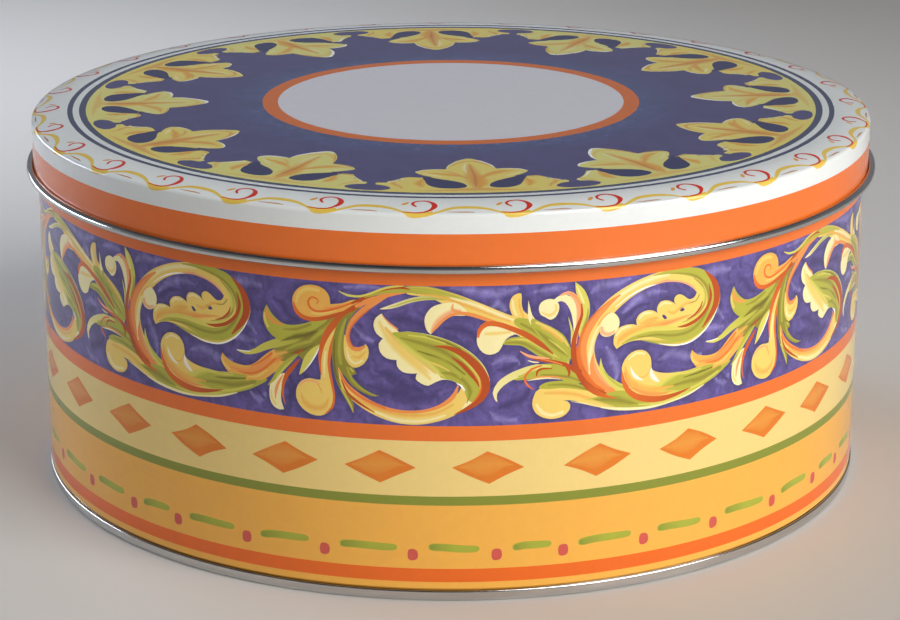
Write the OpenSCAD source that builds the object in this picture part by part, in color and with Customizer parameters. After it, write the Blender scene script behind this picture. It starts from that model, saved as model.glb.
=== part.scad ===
// Round slip-lid storage tin of printed tinplate.
// Three pressed sheet pieces: a lid, a rolled wall and a seamed-on base.
// Millimetres, +Z up, origin at the centre of the surface the tin stands on.

/* [Tin] */
// Outside diameter of the wall
body_d = 250; // [160:1:320]
// Height of the closed tin
tin_h = 110; // [60:1:180]
// Thickness of the tinplate sheet
sheet_t = 0.3; // [0.2:0.05:0.4]

/* [Lid] */
// Height of the lid, from its flat top to the underside of its curl
lid_h = 17.2; // [12:0.1:30]
// Gap all round between the wall and the inside of the lid's skirt
lid_clearance = 0.9; // [0.4:0.1:1.5]
// Gap between the lid's shoulder and the rim that it comes down on
lid_seat_gap = 0.3; // [0.2:0.05:0.6]
// Outside radius of the soft shoulder round the lid's flat panel
lid_shoulder_r = 31.2; // [26:0.2:50]
// Outside radius of the bend between the lid's shoulder and its skirt
lid_edge_r = 1.2; // [1:0.1:2]
// Diameter of the curl that is rolled outwards at the foot of the skirt
lid_curl_d = 2.4; // [1.8:0.1:3.6]

/* [Wall] */
// Diameter of the curl that is rolled inwards at the top of the wall
rim_curl_d = 2.4; // [1.8:0.1:3.6]
// Slit between the free edge of either curl and the sheet beside it
curl_slit = 0.3; // [0.2:0.05:0.5]
// Width of the folded side seam
side_seam_w = 5; // [3:0.5:8]
// Width of the fine groove that the side seam leaves outside
groove_w = 0.4; // [0.2:0.1:0.8]
// Depth of that groove
groove_depth = 0.15; // [0.05:0.05:0.3]

/* [Base] */
// Height of the folded ring that holds the base to the wall
seam_h = 2.9; // [2.4:0.1:4]
// How far that ring stands out from the wall
seam_proud = 0.4; // [0.2:0.1:0.8]
// Gap between the layers of the folded ring
seam_gap = 0.03; // [0.02:0.01:0.06]
// Height over which the wall is drawn in above the ring
neck_h = 0.7; // [0.4:0.1:1.5]
// Height of the base panel's underside above the floor
base_recess = 3; // [1:0.1:6]
// Outside radius of the bends of the base
base_bend_r = 0.6; // [0.5:0.05:0.8]

/* [Hidden] */
$fn = 96;

print_white = [0.87, 0.88, 0.88];
print_violet = [0.37, 0.32, 0.54];
bare_tinplate = [0.66, 0.66, 0.64];

// Slope at which the lid's shoulder runs into its edge bend, a fall of 7 in 24,
// so that the centres of the two bends stay on round numbers
slope_sin = 7 / 25;
slope_cos = 24 / 25;
slope = asin(slope_sin);

// Reach of the half planes and sectors that trim the sections, past any bend
trim = 100;

// Radii of the wall and of the lid's skirt
wall_r = body_d / 2;
skirt_in_r = wall_r + lid_clearance;
skirt_r = skirt_in_r + sheet_t;

// Centres of the edge bend and of the shoulder, whose radius is also that of the flat panel
edge_r = skirt_r - lid_edge_r;
panel_r = edge_r - (lid_shoulder_r - lid_edge_r) * slope_sin;
shoulder_z = tin_h - lid_shoulder_r;
edge_z = shoulder_z + (lid_shoulder_r - lid_edge_r) * slope_cos;

// Heights of the lid's foot and of the wall's rim, whose curl comes up to the shoulder's inside
lid_foot_z = tin_h - lid_h;
rim_curl_r = rim_curl_d / 2;
rim_reach = lid_shoulder_r - sheet_t - lid_seat_gap - rim_curl_r;
rim_across = wall_r - rim_curl_r - panel_r;
rim_up = sqrt(pow(rim_reach, 2) - pow(rim_across, 2));
rim_z = floor(100 * (shoulder_z + rim_up + rim_curl_r)) / 100;

// Layers of the folded ring from outside to inside: the base's outer face, the wall's
// hook, the base's hook, the drawn-in wall, and the base's riser
layer = sheet_t + seam_gap;
seam_r = wall_r + seam_proud;
wall_hook_r = seam_r - layer;
base_hook_r = wall_hook_r - layer;
neck_r = base_hook_r - layer;
riser_r = neck_r - layer;
seam_fold_r = (seam_r - base_hook_r + sheet_t) / 2;
wall_fold_r = (wall_hook_r - neck_r + sheet_t) / 2;

// Heights inside the folded ring
wall_fold_z = sheet_t + seam_gap;
wall_hook_top = seam_h - sheet_t - seam_gap;
base_hook_foot = wall_fold_z + sheet_t + seam_gap;

// Side seam: the wall's sheet is folded to four layers inside
side_seam_t = 3 * sheet_t;
side_seam_foot = seam_h + neck_h;
side_seam_top = rim_z - rim_curl_d;

// A straight stretch of sheet between two corners of its section
module sheet_run(r_low, r_high, z_low, z_high) {
    translate([r_low, z_low]) square([r_high - r_low, z_high - z_low]);
}

// A bent stretch of sheet about (r, z), from one angle round to another less than a half turn on
module sheet_bend(r, z, outer, from, to) {
    middle = (from + to) / 2;
    translate([r, z]) intersection() {
        difference() {
            circle(r = outer);
            circle(r = outer - sheet_t);
        }
        polygon([
            [0, 0],
            trim * [cos(from), sin(from)],
            trim * [cos(middle), sin(middle)],
            trim * [cos(to), sin(to)]
        ]);
    }
}

// Angle at which a curl's free edge leaves the slit to the sheet beside it
function curl_end(outer) = acos((outer - sheet_t - curl_slit) / outer);

// Lid: flat panel, soft shoulder, edge bend, straight skirt and a curl rolled outwards
module lid() {
    curl_outer = lid_curl_d / 2;
    curl_r = skirt_in_r + curl_outer;
    curl_z = lid_foot_z + curl_outer;
    color(print_white) rotate_extrude() {
        sheet_run(0, panel_r, tin_h - sheet_t, tin_h);
        sheet_bend(panel_r, shoulder_z, lid_shoulder_r, 90 - slope, 90);
        sheet_bend(edge_r, edge_z, lid_edge_r, 0, 90 - slope);
        sheet_run(skirt_in_r, skirt_r, curl_z, edge_z);
        sheet_bend(curl_r, curl_z, curl_outer, 180, 300);
        sheet_bend(curl_r, curl_z, curl_outer, 300, 420);
        sheet_bend(curl_r, curl_z, curl_outer, 60, 180 - curl_end(curl_outer));
    }
}

// Wall: rolled sheet with an inward curl at the top and a hook in the folded ring below
module body_wall() {
    curl_r = wall_r - rim_curl_r;
    curl_z = rim_z - rim_curl_r;
    fold_r = (wall_hook_r + neck_r - sheet_t) / 2;
    fold_z = wall_fold_z + wall_fold_r;
    wall_foot = seam_h + neck_h;
    color(print_violet) difference() {
        union() {
            rotate_extrude() {
                sheet_bend(curl_r, curl_z, rim_curl_r, 0, 120);
                sheet_bend(curl_r, curl_z, rim_curl_r, 120, 240);
                sheet_bend(curl_r, curl_z, rim_curl_r, 240, 360 - curl_end(rim_curl_r));
                sheet_run(wall_r - sheet_t, wall_r, wall_foot, curl_z);
                polygon([
                    [neck_r - sheet_t, seam_h],
                    [neck_r, seam_h],
                    [wall_r, wall_foot],
                    [wall_r - sheet_t, wall_foot]
                ]);
                sheet_run(neck_r - sheet_t, neck_r, fold_z, seam_h);
                sheet_bend(fold_r, fold_z, wall_fold_r, 180, 270);
                sheet_bend(fold_r, fold_z, wall_fold_r, 270, 360);
                sheet_run(wall_hook_r - sheet_t, wall_hook_r, fold_z, wall_hook_top);
            }
            side_seam();
        }
        side_groove();
    }
}

// Folded layers of the side seam, on the inside of the wall at the back
module side_seam() {
    intersection() {
        translate([0, 0, side_seam_foot]) difference() {
            cylinder(r = wall_r - sheet_t / 2, h = side_seam_top - side_seam_foot);
            translate([0, 0, -1])
                cylinder(r = wall_r - sheet_t - side_seam_t, h = side_seam_top - side_seam_foot + 2);
        }
        translate([-side_seam_w / 2, 0, 0]) cube([side_seam_w, 2 * wall_r, tin_h]);
    }
}

// Fine upright groove where the two edges of the sheet meet outside
module side_groove() {
    translate([-groove_w / 2, wall_r - groove_depth, side_seam_foot])
        cube([groove_w, trim, side_seam_top - side_seam_foot]);
}

// Base: raised panel, riser, flat land to stand on and the outer part of the folded ring
module base() {
    panel_z = base_recess + sheet_t;
    panel_bend_r = riser_r - base_bend_r;
    outer_bend_r = seam_r - base_bend_r;
    land_bend_r = riser_r - sheet_t + base_bend_r;
    fold_r = (seam_r + base_hook_r - sheet_t) / 2;
    fold_z = seam_h - seam_fold_r;
    color(bare_tinplate) rotate_extrude() {
        sheet_run(0, panel_bend_r, base_recess, panel_z);
        sheet_bend(panel_bend_r, panel_z - base_bend_r, base_bend_r, 0, 90);
        sheet_run(riser_r - sheet_t, riser_r, base_bend_r, panel_z - base_bend_r);
        sheet_bend(land_bend_r, base_bend_r, base_bend_r, 180, 270);
        sheet_run(land_bend_r, outer_bend_r, 0, sheet_t);
        sheet_bend(outer_bend_r, base_bend_r, base_bend_r, 270, 360);
        sheet_run(seam_r - sheet_t, seam_r, base_bend_r, fold_z);
        sheet_bend(fold_r, fold_z, seam_fold_r, 0, 90);
        sheet_bend(fold_r, fold_z, seam_fold_r, 90, 180);
        sheet_run(base_hook_r - sheet_t, base_hook_r, base_hook_foot, fold_z);
    }
}

lid();
body_wall();
base();
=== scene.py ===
import math

import bmesh
import bpy
import numpy as np
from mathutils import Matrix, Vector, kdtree
from mathutils.geometry import delaunay_2d_cdt


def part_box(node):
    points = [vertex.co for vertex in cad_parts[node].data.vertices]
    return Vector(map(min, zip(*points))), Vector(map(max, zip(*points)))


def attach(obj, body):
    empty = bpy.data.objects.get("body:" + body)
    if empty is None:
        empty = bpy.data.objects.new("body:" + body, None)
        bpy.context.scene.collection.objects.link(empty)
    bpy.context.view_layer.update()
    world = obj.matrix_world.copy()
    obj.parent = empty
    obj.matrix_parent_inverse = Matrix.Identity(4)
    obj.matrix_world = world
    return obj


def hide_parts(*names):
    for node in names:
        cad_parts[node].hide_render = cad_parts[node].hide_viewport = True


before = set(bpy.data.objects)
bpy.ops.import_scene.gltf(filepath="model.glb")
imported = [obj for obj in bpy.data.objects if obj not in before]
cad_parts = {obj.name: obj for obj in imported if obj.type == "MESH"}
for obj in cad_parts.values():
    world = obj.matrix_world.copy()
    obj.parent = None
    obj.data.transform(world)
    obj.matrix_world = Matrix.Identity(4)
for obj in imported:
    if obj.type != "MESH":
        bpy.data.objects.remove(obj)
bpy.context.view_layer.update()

bl_info = {
    "name": "Printed storage tin",
    "version": (1, 0, 0),
    "blender": (4, 5, 0),
    "location": "View3D > Sidebar > Tin",
    "description": "Builds a round slip-lid storage tin of printed tinplate, and a plain stage for it",
    "category": "Object",
}

MM = 0.001
LID_LOW, LID_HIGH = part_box("lid")
BASE_LOW, BASE_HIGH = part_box("base")


def linear(shade):
    """Linear colour of an sRGB hex value."""
    parts = [int(shade[at:at + 2], 16) / 255 for at in (0, 2, 4)]
    return tuple(part / 12.92 if part <= 0.04045 else ((part + 0.055) / 1.055) ** 2.4 for part in parts)


# Inks of the print, as sRGB hex values
INKS = {
    "violet": "5B4E88", "dusk": "443A6B", "haze": "7A70A6",
    "white": "F4F2EA", "cream": "EEE0A4", "butter": "E8C564", "honey": "E3A84B",
    "lemon": "D2C758", "lime": "ACA83A", "olive": "8B822B", "moss": "685E1C",
    "blush": "EBA070", "apricot": "E68C45", "orange": "DA6822", "rust": "B04812",
    "tangerine": "DF6C26", "vanilla": "E4C67A", "amber": "E7A846", "fern": "80862D",
    "ember": "E06418", "leaf": "A0A436", "berry": "C65246", "peach": "DA8E36", "toffee": "D5741E",
    "snow": "DBDDDA", "navy": "433F70", "midnight": "1C2256", "slate": "38425E", "lilac": "D2CFD4",
    "steel": "434F7B", "terracotta": "D2660C",
    "straw": "DFCB63", "ochre": "D69C44", "umber": "BE7A34", "saffron": "DA982A", "pearl": "EADFA2",
    "wheat": "D8D075", "ivory": "E0DB9E", "maize": "D9B45C",
    "red": "C8301E", "mustard": "DCBA50", "sienna": "B5763C",
}


def patch(ink, *points):
    """A filled shape with a crisp edge; a third number makes its point a corner."""
    return "patch", ink, points


def brush(ink, *points):
    """A crisp stroke through points of (x, y, half width); two inks run into each other along it."""
    return "brush", ink, points


def wash(ink, *points):
    """A soft stroke through points of (x, y, half width), that fades out to its sides."""
    return "wash", ink, points


def both(mark):
    """A mark and its mirror image."""
    kind, ink, points = mark
    return mark, (kind, ink, tuple((-x, *rest) for x, *rest in points))


# Scrollwork of the frieze, in millimetres along one repeat and up from its foot
FRIEZE = [
    # Violet ground, brushed on paler near the borders and darker inside the scrolls
    wash("haze", (1, 33, .6), (5, 35.4, 1.8), (10, 36.4, 2), (15, 35.6, .8)),
    wash("haze", (2, 26, .5), (6, 27.6, 1.5), (10, 25.4, 1.2), (13, 22, .5)),
    wash("haze", (38, 37.5, .6), (44, 38, 1), (49, 37.6, .4)),
    wash("haze", (66, 38.2, .5), (72, 37.4, 1.4), (79, 36.6, 1.8), (84, 38, .8)),
    wash("haze", (76, 31.5, .4), (78.5, 34, 1.3), (80.6, 31.6, .9)),
    wash("haze", (77, 17, .5), (80, 18.6, 1.4), (83, 18.4, 1), (84.6, 16.6, .4)),
    wash("haze", (76.5, 4, .5), (78.6, 2, 1.3), (84, 1.2, 1)),
    wash("haze", (88, 36.6, .5), (93, 37.4, 1.3), (97, 37.2, .6)),
    wash("haze", (103.6, 35, .6), (106, 37, 1.6), (111, 37.2, 1.3), (115, 38, .5)),
    wash("haze", (108, 20, .5), (110, 16.4, 1.5), (111.6, 12.4, 1.2), (111, 10, .4)),
    wash("haze", (123.6, 14, .5), (128, 15.4, 1.6), (133, 13.6, 1.4), (138, 13.6, .6)),
    wash("haze", (112.6, 28.6, .5), (117, 32, 1.5), (122, 33.4, 1.2), (126, 33, .4)),
    wash("haze", (4, 20.5, .5), (8, 20.4, 1.3), (13, 20, .8)),
    wash("haze", (40.5, 27, .4), (42.6, 24.6, 1), (46, 23, .8)),
    wash("haze", (10.6, 5.6, .4), (13.4, 3.4, 1.4), (15.4, 6, .6)),
    wash("dusk", (44, 11, .8), (50, 9.2, 2.4), (57, 7.6, 2.6), (63, 8.6, 1.6)),
    wash("dusk", (46, 15, .6), (50, 14, 2), (54, 11.6, 1.8), (59, 9.6, .8)),
    wash("dusk", (50, 29.4, .6), (54, 29.6, 1.8), (58, 28.4, 1.4), (59.4, 26.4, .5)),
    wash("dusk", (64, 27.4, .6), (69, 26.8, 1.8), (72, 25.6, 1.2), (73, 23, .5)),
    wash("dusk", (78.4, 15.4, .6), (81.4, 16, 1.5), (84, 17.4, .6)),
    wash("dusk", (79, 4.8, .6), (82, 6, 2), (86, 7.6, 1.4), (87, 10, .5)),
    wash("dusk", (22, 12, .6), (23.6, 9, 1.4), (22.6, 5, 1.4), (22.6, 2, .6)),
    wash("dusk", (2, 9, .6), (7, 8.4, .9), (12, 7, 1), (15, 4, .6)),
    wash("dusk", (18, 33, .6), (21, 31, 1.6), (22.6, 28.4, 1.2), (26, 27.2, .4)),
    wash("dusk", (104.4, 31.6, .5), (104.8, 28.6, .8), (104, 26, .4)),
    wash("dusk", (112, 26.6, .5), (114.6, 28, 1.3), (117, 30, .9), (121, 30.4, .5)),

    # Top stem that comes down to the trunk, with its hanging petal and bud
    patch("butter", (54, 38.2), (58, 38.6), (62, 38.2), (67, 36.8), (70, 35.7), (75, 33.6), (80, 31.3),
          (84, 29.6), (88, 27.5), (93, 23), (97.5, 17.5), (97, 16), (92, 19), (86, 23.5), (80, 27.3),
          (75, 29.4), (70, 30.9), (66.5, 32), (64, 34), (60, 35.8), (55, 36.4)),
    wash("lime", (52.6, 38.3, .1), (56, 38, .8), (60, 37.8, 1), (64, 36.9, 1), (69, 35.4, .6),
         (74, 33.4, .1)),
    wash("lime", (54, 37.4, .1), (59, 36.9, .8), (64, 35.8, .7), (68, 34.6, .1)),
    wash("honey", (58, 36.5, .4), (64, 35.6, .6), (70, 33.6, .8), (76, 31.2, .7), (82, 28.8, .5)),
    wash("cream", (66, 35.6, .2), (70, 34.5, .7), (75, 32.6, .8), (80, 30.3, .7), (84, 28.6, .2)),
    patch("cream", (67.2, 34.3), (63.5, 33.9), (61, 32.7), (59.5, 30.3), (59.5, 28), (60.2, 26.3),
          (61, 25.6, 1), (62.2, 26.8), (64, 29), (66.5, 30.6), (70.5, 30.8), (70, 32.5)),
    wash("blush", (61, 26, .2), (61.9, 28, .8), (63.8, 30.2, 1), (66.6, 31.8, .9), (69, 32, .4)),
    brush("apricot", (61.2, 26, .1), (62.5, 27.6, .4), (64.6, 29.8, .4), (67.3, 31.2, .4), (71, 31.1, .5),
          (75, 29.8, .5), (78, 28.7, .4)),
    wash("apricot", (66.9, 34, .2), (66.6, 33, .5), (67.2, 32, .5), (70, 31.4, .4)),
    patch("cream", (73.1, 24.8), (73.3, 22.4), (74.6, 20.5), (76.6, 19.8), (78.8, 20.6), (79.9, 22.5),
          (80.8, 24), (83, 25.2), (86, 25), (83.5, 26.6), (80, 27.4), (76.5, 28), (74.2, 27)),
    wash("butter", (75, 25.6, .6), (78, 25.6, .8), (82, 25.9, .5)),

    # Leaves that fan out on the left of the trunk
    patch("lime", (79.9, 22.7), (82, 24.3), (86, 24.2), (90, 21.8), (94, 18.6), (97.5, 16.3), (94.5, 16.6),
          (91, 17.8), (88, 19.9), (85, 21.9), (82, 22.3)),
    wash("olive", (80.5, 22.9, .3), (85, 22.8, .6), (89, 20.4, .6), (93, 17.9, .4)),
    wash("lemon", (82, 23.8, .2), (86, 23.6, .4), (90, 21.2, .4), (94, 18.2, .2)),
    patch("butter", (82, 35), (83, 36.1), (84.7, 36.4), (84.8, 34), (85.2, 31.8), (86.9, 29.8), (85.5, 27.5),
          (83, 29.6), (82, 31.4), (81.6, 33.3)),
    wash("cream", (82.4, 34.8, .4), (82.6, 32.5, .5), (83.6, 30.2, .4)),
    wash("honey", (84.2, 35, .3), (84.3, 32.5, .4), (85.4, 29.8, .5)),
    patch("lime", (83.4, 29.6), (86.8, 29.2), (90, 26.8), (94, 22.8), (98, 18), (97, 16.6), (92, 20.6),
          (87, 25), (83, 28)),
    wash("olive", (84.5, 28.2, .4), (88, 26, .6), (92, 22.6, .5), (96, 18.6, .3)),
    patch("cream", (86.6, 34.4, 1), (87.1, 32.3), (87.7, 30.2), (89.2, 28.3), (91, 26.8), (88.2, 26.6),
          (86.7, 29), (86.5, 31.5)),
    patch("lime", (87.7, 29.4), (91, 27.6), (94, 26), (96.4, 24), (97.4, 22.2), (98.2, 20.4), (98.4, 17.4),
          (95.5, 18.8), (92, 21.6), (89, 25), (87.4, 27.5)),
    wash("butter", (88.5, 28.3, .4), (92, 26.5, .7), (95.5, 23.9, .6), (97.6, 21, .3)),
    wash("honey", (89.8, 26.8, .2), (93, 25, .5), (96, 22.2, .4)),
    wash("olive", (88.5, 26.6, .1), (91.5, 23.6, .9), (95, 20.4, .8), (97.6, 18, .1)),
    wash("lemon", (92, 23.4, .1), (94.6, 21.4, .4), (97.3, 18.8, .1)),
    brush(("orange", "rust"), (73.4, 24.6, .25), (73.8, 26.6, .55), (75.6, 28.3, .7), (78.5, 28.2, .7),
          (82, 26.9, .7), (86, 25, .8), (90, 22.1, .7), (93.4, 19.2, .15)),

    # Stalked bud and the leaf that points up beside the trunk
    brush("cream", (93.6, 33.6, .5), (95.4, 34.5, .85), (97.4, 33.8, 1.1), (98.8, 31.4, 1), (99.4, 28.4, .8),
          (99.4, 25, .5), (98.8, 21, .3)),
    brush("blush", (95.2, 35.2, .2), (97.3, 35.8, .5), (99.4, 34.2, .75), (100.4, 31.5, .8),
          (100.4, 28.5, .7), (99.9, 25, .5), (99.4, 21.5, .4)),
    wash("apricot", (97.5, 35.8, .3), (99.9, 34, .4), (100.9, 31, .4), (100.7, 27.5, .4), (100, 24, .3)),
    patch("cream", (89.4, 31.8), (89.9, 33.5), (91.6, 34.4), (93.5, 34.2), (94.8, 32.8), (94.8, 31),
          (93.9, 29.3), (92.5, 28.7), (91.2, 29.5), (90, 30.2)),
    wash("butter", (90.2, 31, .3), (92.3, 29.8, .6), (94.2, 31.3, .5), (93.8, 33, .3)),
    patch("lemon", (99.2, 38.6, 1), (101.6, 36.4), (103.1, 33), (103.3, 30), (102.6, 27), (100.9, 22.9),
          (100.3, 25), (101.1, 28), (101.5, 30.8), (100.7, 33.2), (99.5, 35.5)),
    wash("olive", (102.9, 31, .2), (102.6, 28.3, .5), (101.6, 25.4, .6), (100.8, 23, .3)),
    wash("cream", (99.6, 37.5, .2), (100.7, 35, .4), (101.7, 32.5, .3)),
    patch("lemon", (97.4, 29.2, 1), (98.1, 27.5), (98.8, 25), (99, 22), (98.2, 21.4), (98.2, 25),
          (97.7, 27.3)),

    # Low leaves on the left of the trunk
    patch("lime", (83, 12.6), (86, 14.9), (90, 16.5), (95, 16.2), (99.5, 14.2), (102.5, 10.6), (98, 10.8),
          (95, 12.2), (92, 12.9), (88, 12.6)),
    brush(("cream", "lemon"), (78.4, 6.7, .15), (77.9, 9, .6), (79.3, 11.5, .9), (82, 13.4, 1),
          (85.5, 14.7, 1.1), (89, 15.7, .9), (93, 15.8, .3)),
    wash("lime", (84, 13.4, .3), (88, 14.4, .8), (92, 14.4, .8), (96, 13.5, .6)),
    wash("olive", (90, 13.6, .2), (94, 13.2, .5), (98, 12.4, .6), (101, 11, .3)),
    brush("cream", (86.4, 12.2, .06), (89, 12.5, .2), (92, 12.6, .2), (95.5, 12, .06)),
    brush("apricot", (87.5, 12.8, .1), (90.5, 13, .2), (94, 12.8, .2), (97, 12, .1)),
    brush("orange", (90.4, 16.2, .2), (87.6, 15.3, .3), (86, 13.5, .3), (86, 11.9, .3), (87, 10.5, .25),
          (88.2, 9.7, .1)),
    brush("rust", (89, 13.3, .15), (89.2, 14.6, .3), (90.5, 15.3, .3), (93.2, 15.2, .15)),

    # Big round bud at the foot of the trunk, with the leaf over it
    patch("butter", (89.8, 9.7), (88.4, 8), (87.9, 5.5), (88.7, 3.2), (90.8, 1.6), (93.5, 1), (96.3, 1.5),
          (98, 3), (98.3, 4.6), (97.5, 5.6), (96.2, 6, 1), (99, 5.7), (103, 4.2), (107, 2.9), (112, 1.8),
          (116, 1.3), (117, 2.6), (111, 4.6), (106, 6.9), (102, 8.7), (98, 9.8), (94, 10.1)),
    wash("cream", (89, 5.5, .5), (90.5, 3, .8), (93.5, 2, .7), (96.5, 2.8, .6)),
    wash("honey", (91, 8.4, .5), (95, 8.2, .8), (99, 7.6, .8), (103, 6.2, .7), (107, 4.6, .5)),
    wash("cream", (98.5, 5.5, .1), (103, 4.4, .3), (107, 3.2, .35), (112, 2.1, .4), (118, 1.3, .3)),
    patch("lime", (89.6, 10), (91, 11.2), (94, 11.6), (98, 11.2), (102, 9.6), (105.5, 7.4), (101, 8.6),
          (96, 9.5), (92, 9.5)),
    wash("olive", (92, 10.6, .3), (96, 10.5, .5), (100, 9.7, .5), (104, 8, .3)),

    # Band of the rising scroll, from the foot over the top
    brush("butter", (113, 5.4, 1.2), (107.4, 9.2, 2), (104, 14, 2.2), (102.6, 19, 2.2), (103.4, 23.6, 2.2),
          (106.2, 27.8, 2.2), (110.6, 32, 2), (116, 35.1, 1.7), (122, 36.9, 1.6), (128, 37.3, 1.7),
          (133, 36.3, 1.9), (137, 33.6, 2.4)),
    wash("cream", (108, 30.8, .8), (113, 34.3, .9), (119, 36.7, .9), (126, 37.8, .8), (131, 37.6, .6)),
    brush("apricot", (110, 6.4, .6), (105.2, 10, 1.2), (102.5, 14.6, 1.3), (101.4, 19, 1.2),
          (102.2, 23.6, 1.1), (105, 28.2, 1), (108.8, 31.8, .7), (112, 33.9, .2)),
    wash("orange", (108, 7, .5), (103.5, 11, .9), (101.2, 15.5, .9), (100.5, 19.5, .7), (101.2, 24, .6),
          (103.6, 28, .5), (106.6, 30.8, .3), (109, 32.6, .1)),
    wash("cream", (103.6, 12.6, .3), (103.5, 17, .8), (104.2, 21.4, .8), (105.3, 24.6, .6), (106.2, 26, .3)),
    brush("white", (110.6, 30.6, .06), (115, 33.4, .18), (119.4, 35, .2), (122.5, 35.4, .06)),
    brush("blush", (121.5, 35.6, .1), (126, 36, .4), (130.5, 35.3, .5), (134, 33.4, .4), (135.6, 31.6, .2)),
    patch("cream", (106.3, 25.3), (106.5, 23.5), (108, 22.6), (110, 23), (111.4, 24.3), (111.9, 26.3),
          (111.3, 28), (109.8, 29.2), (108, 28.8), (106.8, 27.3)),
    wash("blush", (106.8, 25.6, .5), (107, 24, .8), (108.7, 23.2, .7), (110.6, 24, .4)),
    wash("apricot", (105.6, 25.8, .2), (107, 28, .35), (109.2, 29.4, .2)),

    # Leaves on the right of the trunk
    patch("apricot", (104.6, 18.8, 1), (105, 16), (106.5, 12.6), (109, 9.6), (113, 7), (109, 6.6),
          (105.5, 9.4), (103.8, 13), (103.7, 16)),
    wash("blush", (104.7, 17, .2), (105.2, 14, .5), (107, 11, .6), (109.8, 8.4, .5)),
    patch("lemon", (106.7, 17, 1), (107.3, 14.5), (109, 11.7), (112, 9.4), (115.4, 7.4), (113, 6.2),
          (109.5, 8.8), (107, 12), (106.3, 14.5)),
    wash("lime", (107.6, 13.2, .2), (109.4, 10.7, .4), (112, 8.6, .5), (114.4, 7.2, .4)),

    # Trunk and its tendril
    brush("rust", (112, 4.8, .3), (107.5, 6.5, .9), (103.5, 9.6, 1.3), (100.8, 13.8, 1.3), (99.2, 18, .9),
          (99, 22, .65), (100, 26, .55), (101.2, 29.5, .35), (101, 32.5, .15)),
    brush("orange", (108, 7.6, .2), (104.6, 9.8, .5), (101.8, 13.4, .5), (100.2, 17.4, .3), (99.9, 21, .15)),
    brush("rust", (101, 13.2, .9), (97.5, 15.6, .6), (94, 16.9, .5), (90.5, 17.7, .45), (87, 18.8, .35),
          (84.5, 20.4, .1)),
    brush("blush", (92.5, 18, .15), (89, 18.5, .35), (86.5, 19.2, .35), (84.5, 20.5, .1)),
    brush("cream", (86.6, 17.8, .08), (88, 17.3, .18), (89.6, 17.1, .1)),
    brush("rust", (97, 15.4, .3), (97.9, 13.9, .4), (97.7, 12.5, .15)),
    wash("apricot", (96, 16, .2), (93, 17.2, .25), (90, 18, .2)),

    # Bud of the lower stem, turned back on itself, and the stem itself
    patch("lime", (101.6, 5.6, 1), (105.4, 6), (109, 6.8), (113, 7), (118, 5), (124, 4), (131, 4.6),
          (137, 6), (142, 6.2), (137.5, 3.9), (133, 2.4), (128, 1.6), (122, 1), (116, 1.2), (110, 2.4),
          (105.6, 4)),
    wash("butter", (100.6, 5.8, .1), (104, 4.8, 1), (107.4, 3.6, .8), (111, 2.6, .1)),
    wash("olive", (104.6, 5.4, .1), (108.4, 5, 1), (112, 4.4, 1.5), (115, 3.4, 1), (118, 2.6, .1)),
    brush(("rust", "orange"), (102.2, 11.2, .2), (103.8, 9, .8), (106.4, 6.9, .7), (109, 5.7, .35),
          (111.4, 5, .08)),
    brush("cream", (107, 3, .2), (111, 2.1, .4), (116, 1.4, .4), (122, 1.1, .35), (128, 1.7, .3),
          (134, 2.8, .3), (139, 4.6, .2)),
    wash("lemon", (118, 2.4, .3), (124, 1.8, .6), (130, 2.6, .6), (136, 4.2, .5)),
    patch("butter", (113.2, 11.5), (112.8, 13.5), (113.7, 15.7), (115.5, 17.3), (117.8, 17.8), (120, 17.1),
          (121.4, 15.2), (121.7, 12.9), (121.8, 11.8), (124, 10.6), (128, 9.8), (133, 9.6), (137, 10),
          (143, 10.2), (147, 9.8), (144, 7.4), (140, 5.2), (134, 4), (128, 3.3), (122, 3.4), (117.5, 5.2),
          (114.6, 8.4)),
    patch("lime", (127, 8.6), (131, 9.2), (137, 9.8), (143, 10), (148.4, 9.7), (145, 7.2), (141.5, 5.5),
          (136.5, 4), (131, 3.6), (127, 4.4), (122, 5.6), (125, 6.8)),
    wash("lemon", (121, 5.8, .4), (124.4, 7.2, 1.2), (128, 8.8, 1.1), (131, 9.4, .4)),
    wash("lemon", (121, 5.4, .3), (126, 4.6, .9), (131, 3.8, .6)),
    wash("olive", (127, 6, .3), (133, 6.4, .9), (139, 6.8, 1.1), (145, 8.6, .6)),
    wash("moss", (132, 7.8, .2), (137, 8.3, .5), (143, 9.2, .3)),
    wash("lemon", (130, 9, .3), (134, 9, .5), (138, 9.4, .3)),
    wash("lemon", (129, 4, .2), (135, 4.4, .5), (140, 5.8, .5), (144, 7.6, .3)),
    wash("honey", (113.8, 13.6, .4), (114.4, 11, .8), (116.2, 8.6, .9), (119.6, 6.8, .9), (124, 6, .7),
          (129, 6, .3)),
    wash("cream", (114.6, 15.4, .3), (117, 17, .5), (119.8, 16.4, .4)),
    wash("apricot", (113.6, 12, .3), (114.6, 9.2, .5), (117, 6.6, .5), (121, 5, .4)),
    wash("honey", (117.6, 10.4, .1), (119.6, 9.9, .3), (121.2, 11.4, .3), (121.5, 13.4, .1)),
    wash("white", (115.4, 13.4, .1), (116.1, 11.4, .6), (117.5, 9.9, .6), (119.4, 9, .1)),
    wash("white", (121.7, 12.4, .1), (121.7, 10.8, .7), (122.3, 9.6, 1), (123.2, 8.6, .7), (124.4, 7.8, .1)),
    wash("honey", (114.2, 12.6, .1), (115.4, 9.4, 1), (118.4, 6.9, 1.4), (122.6, 5.8, 1.3), (127, 5.6, .1)),
    wash("apricot", (116, 7.6, .1), (119.4, 5.4, .8), (124, 4.4, .8), (129, 4.6, .1)),
    brush(("orange", "rust"), (112.9, 12.4, .1), (113.3, 9.8, .5), (114.6, 7, .7), (117, 4.9, .85),
          (120.8, 3.5, .9), (125, 3, .8), (130, 3.5, .5), (134.5, 4.6, .08)),

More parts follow.
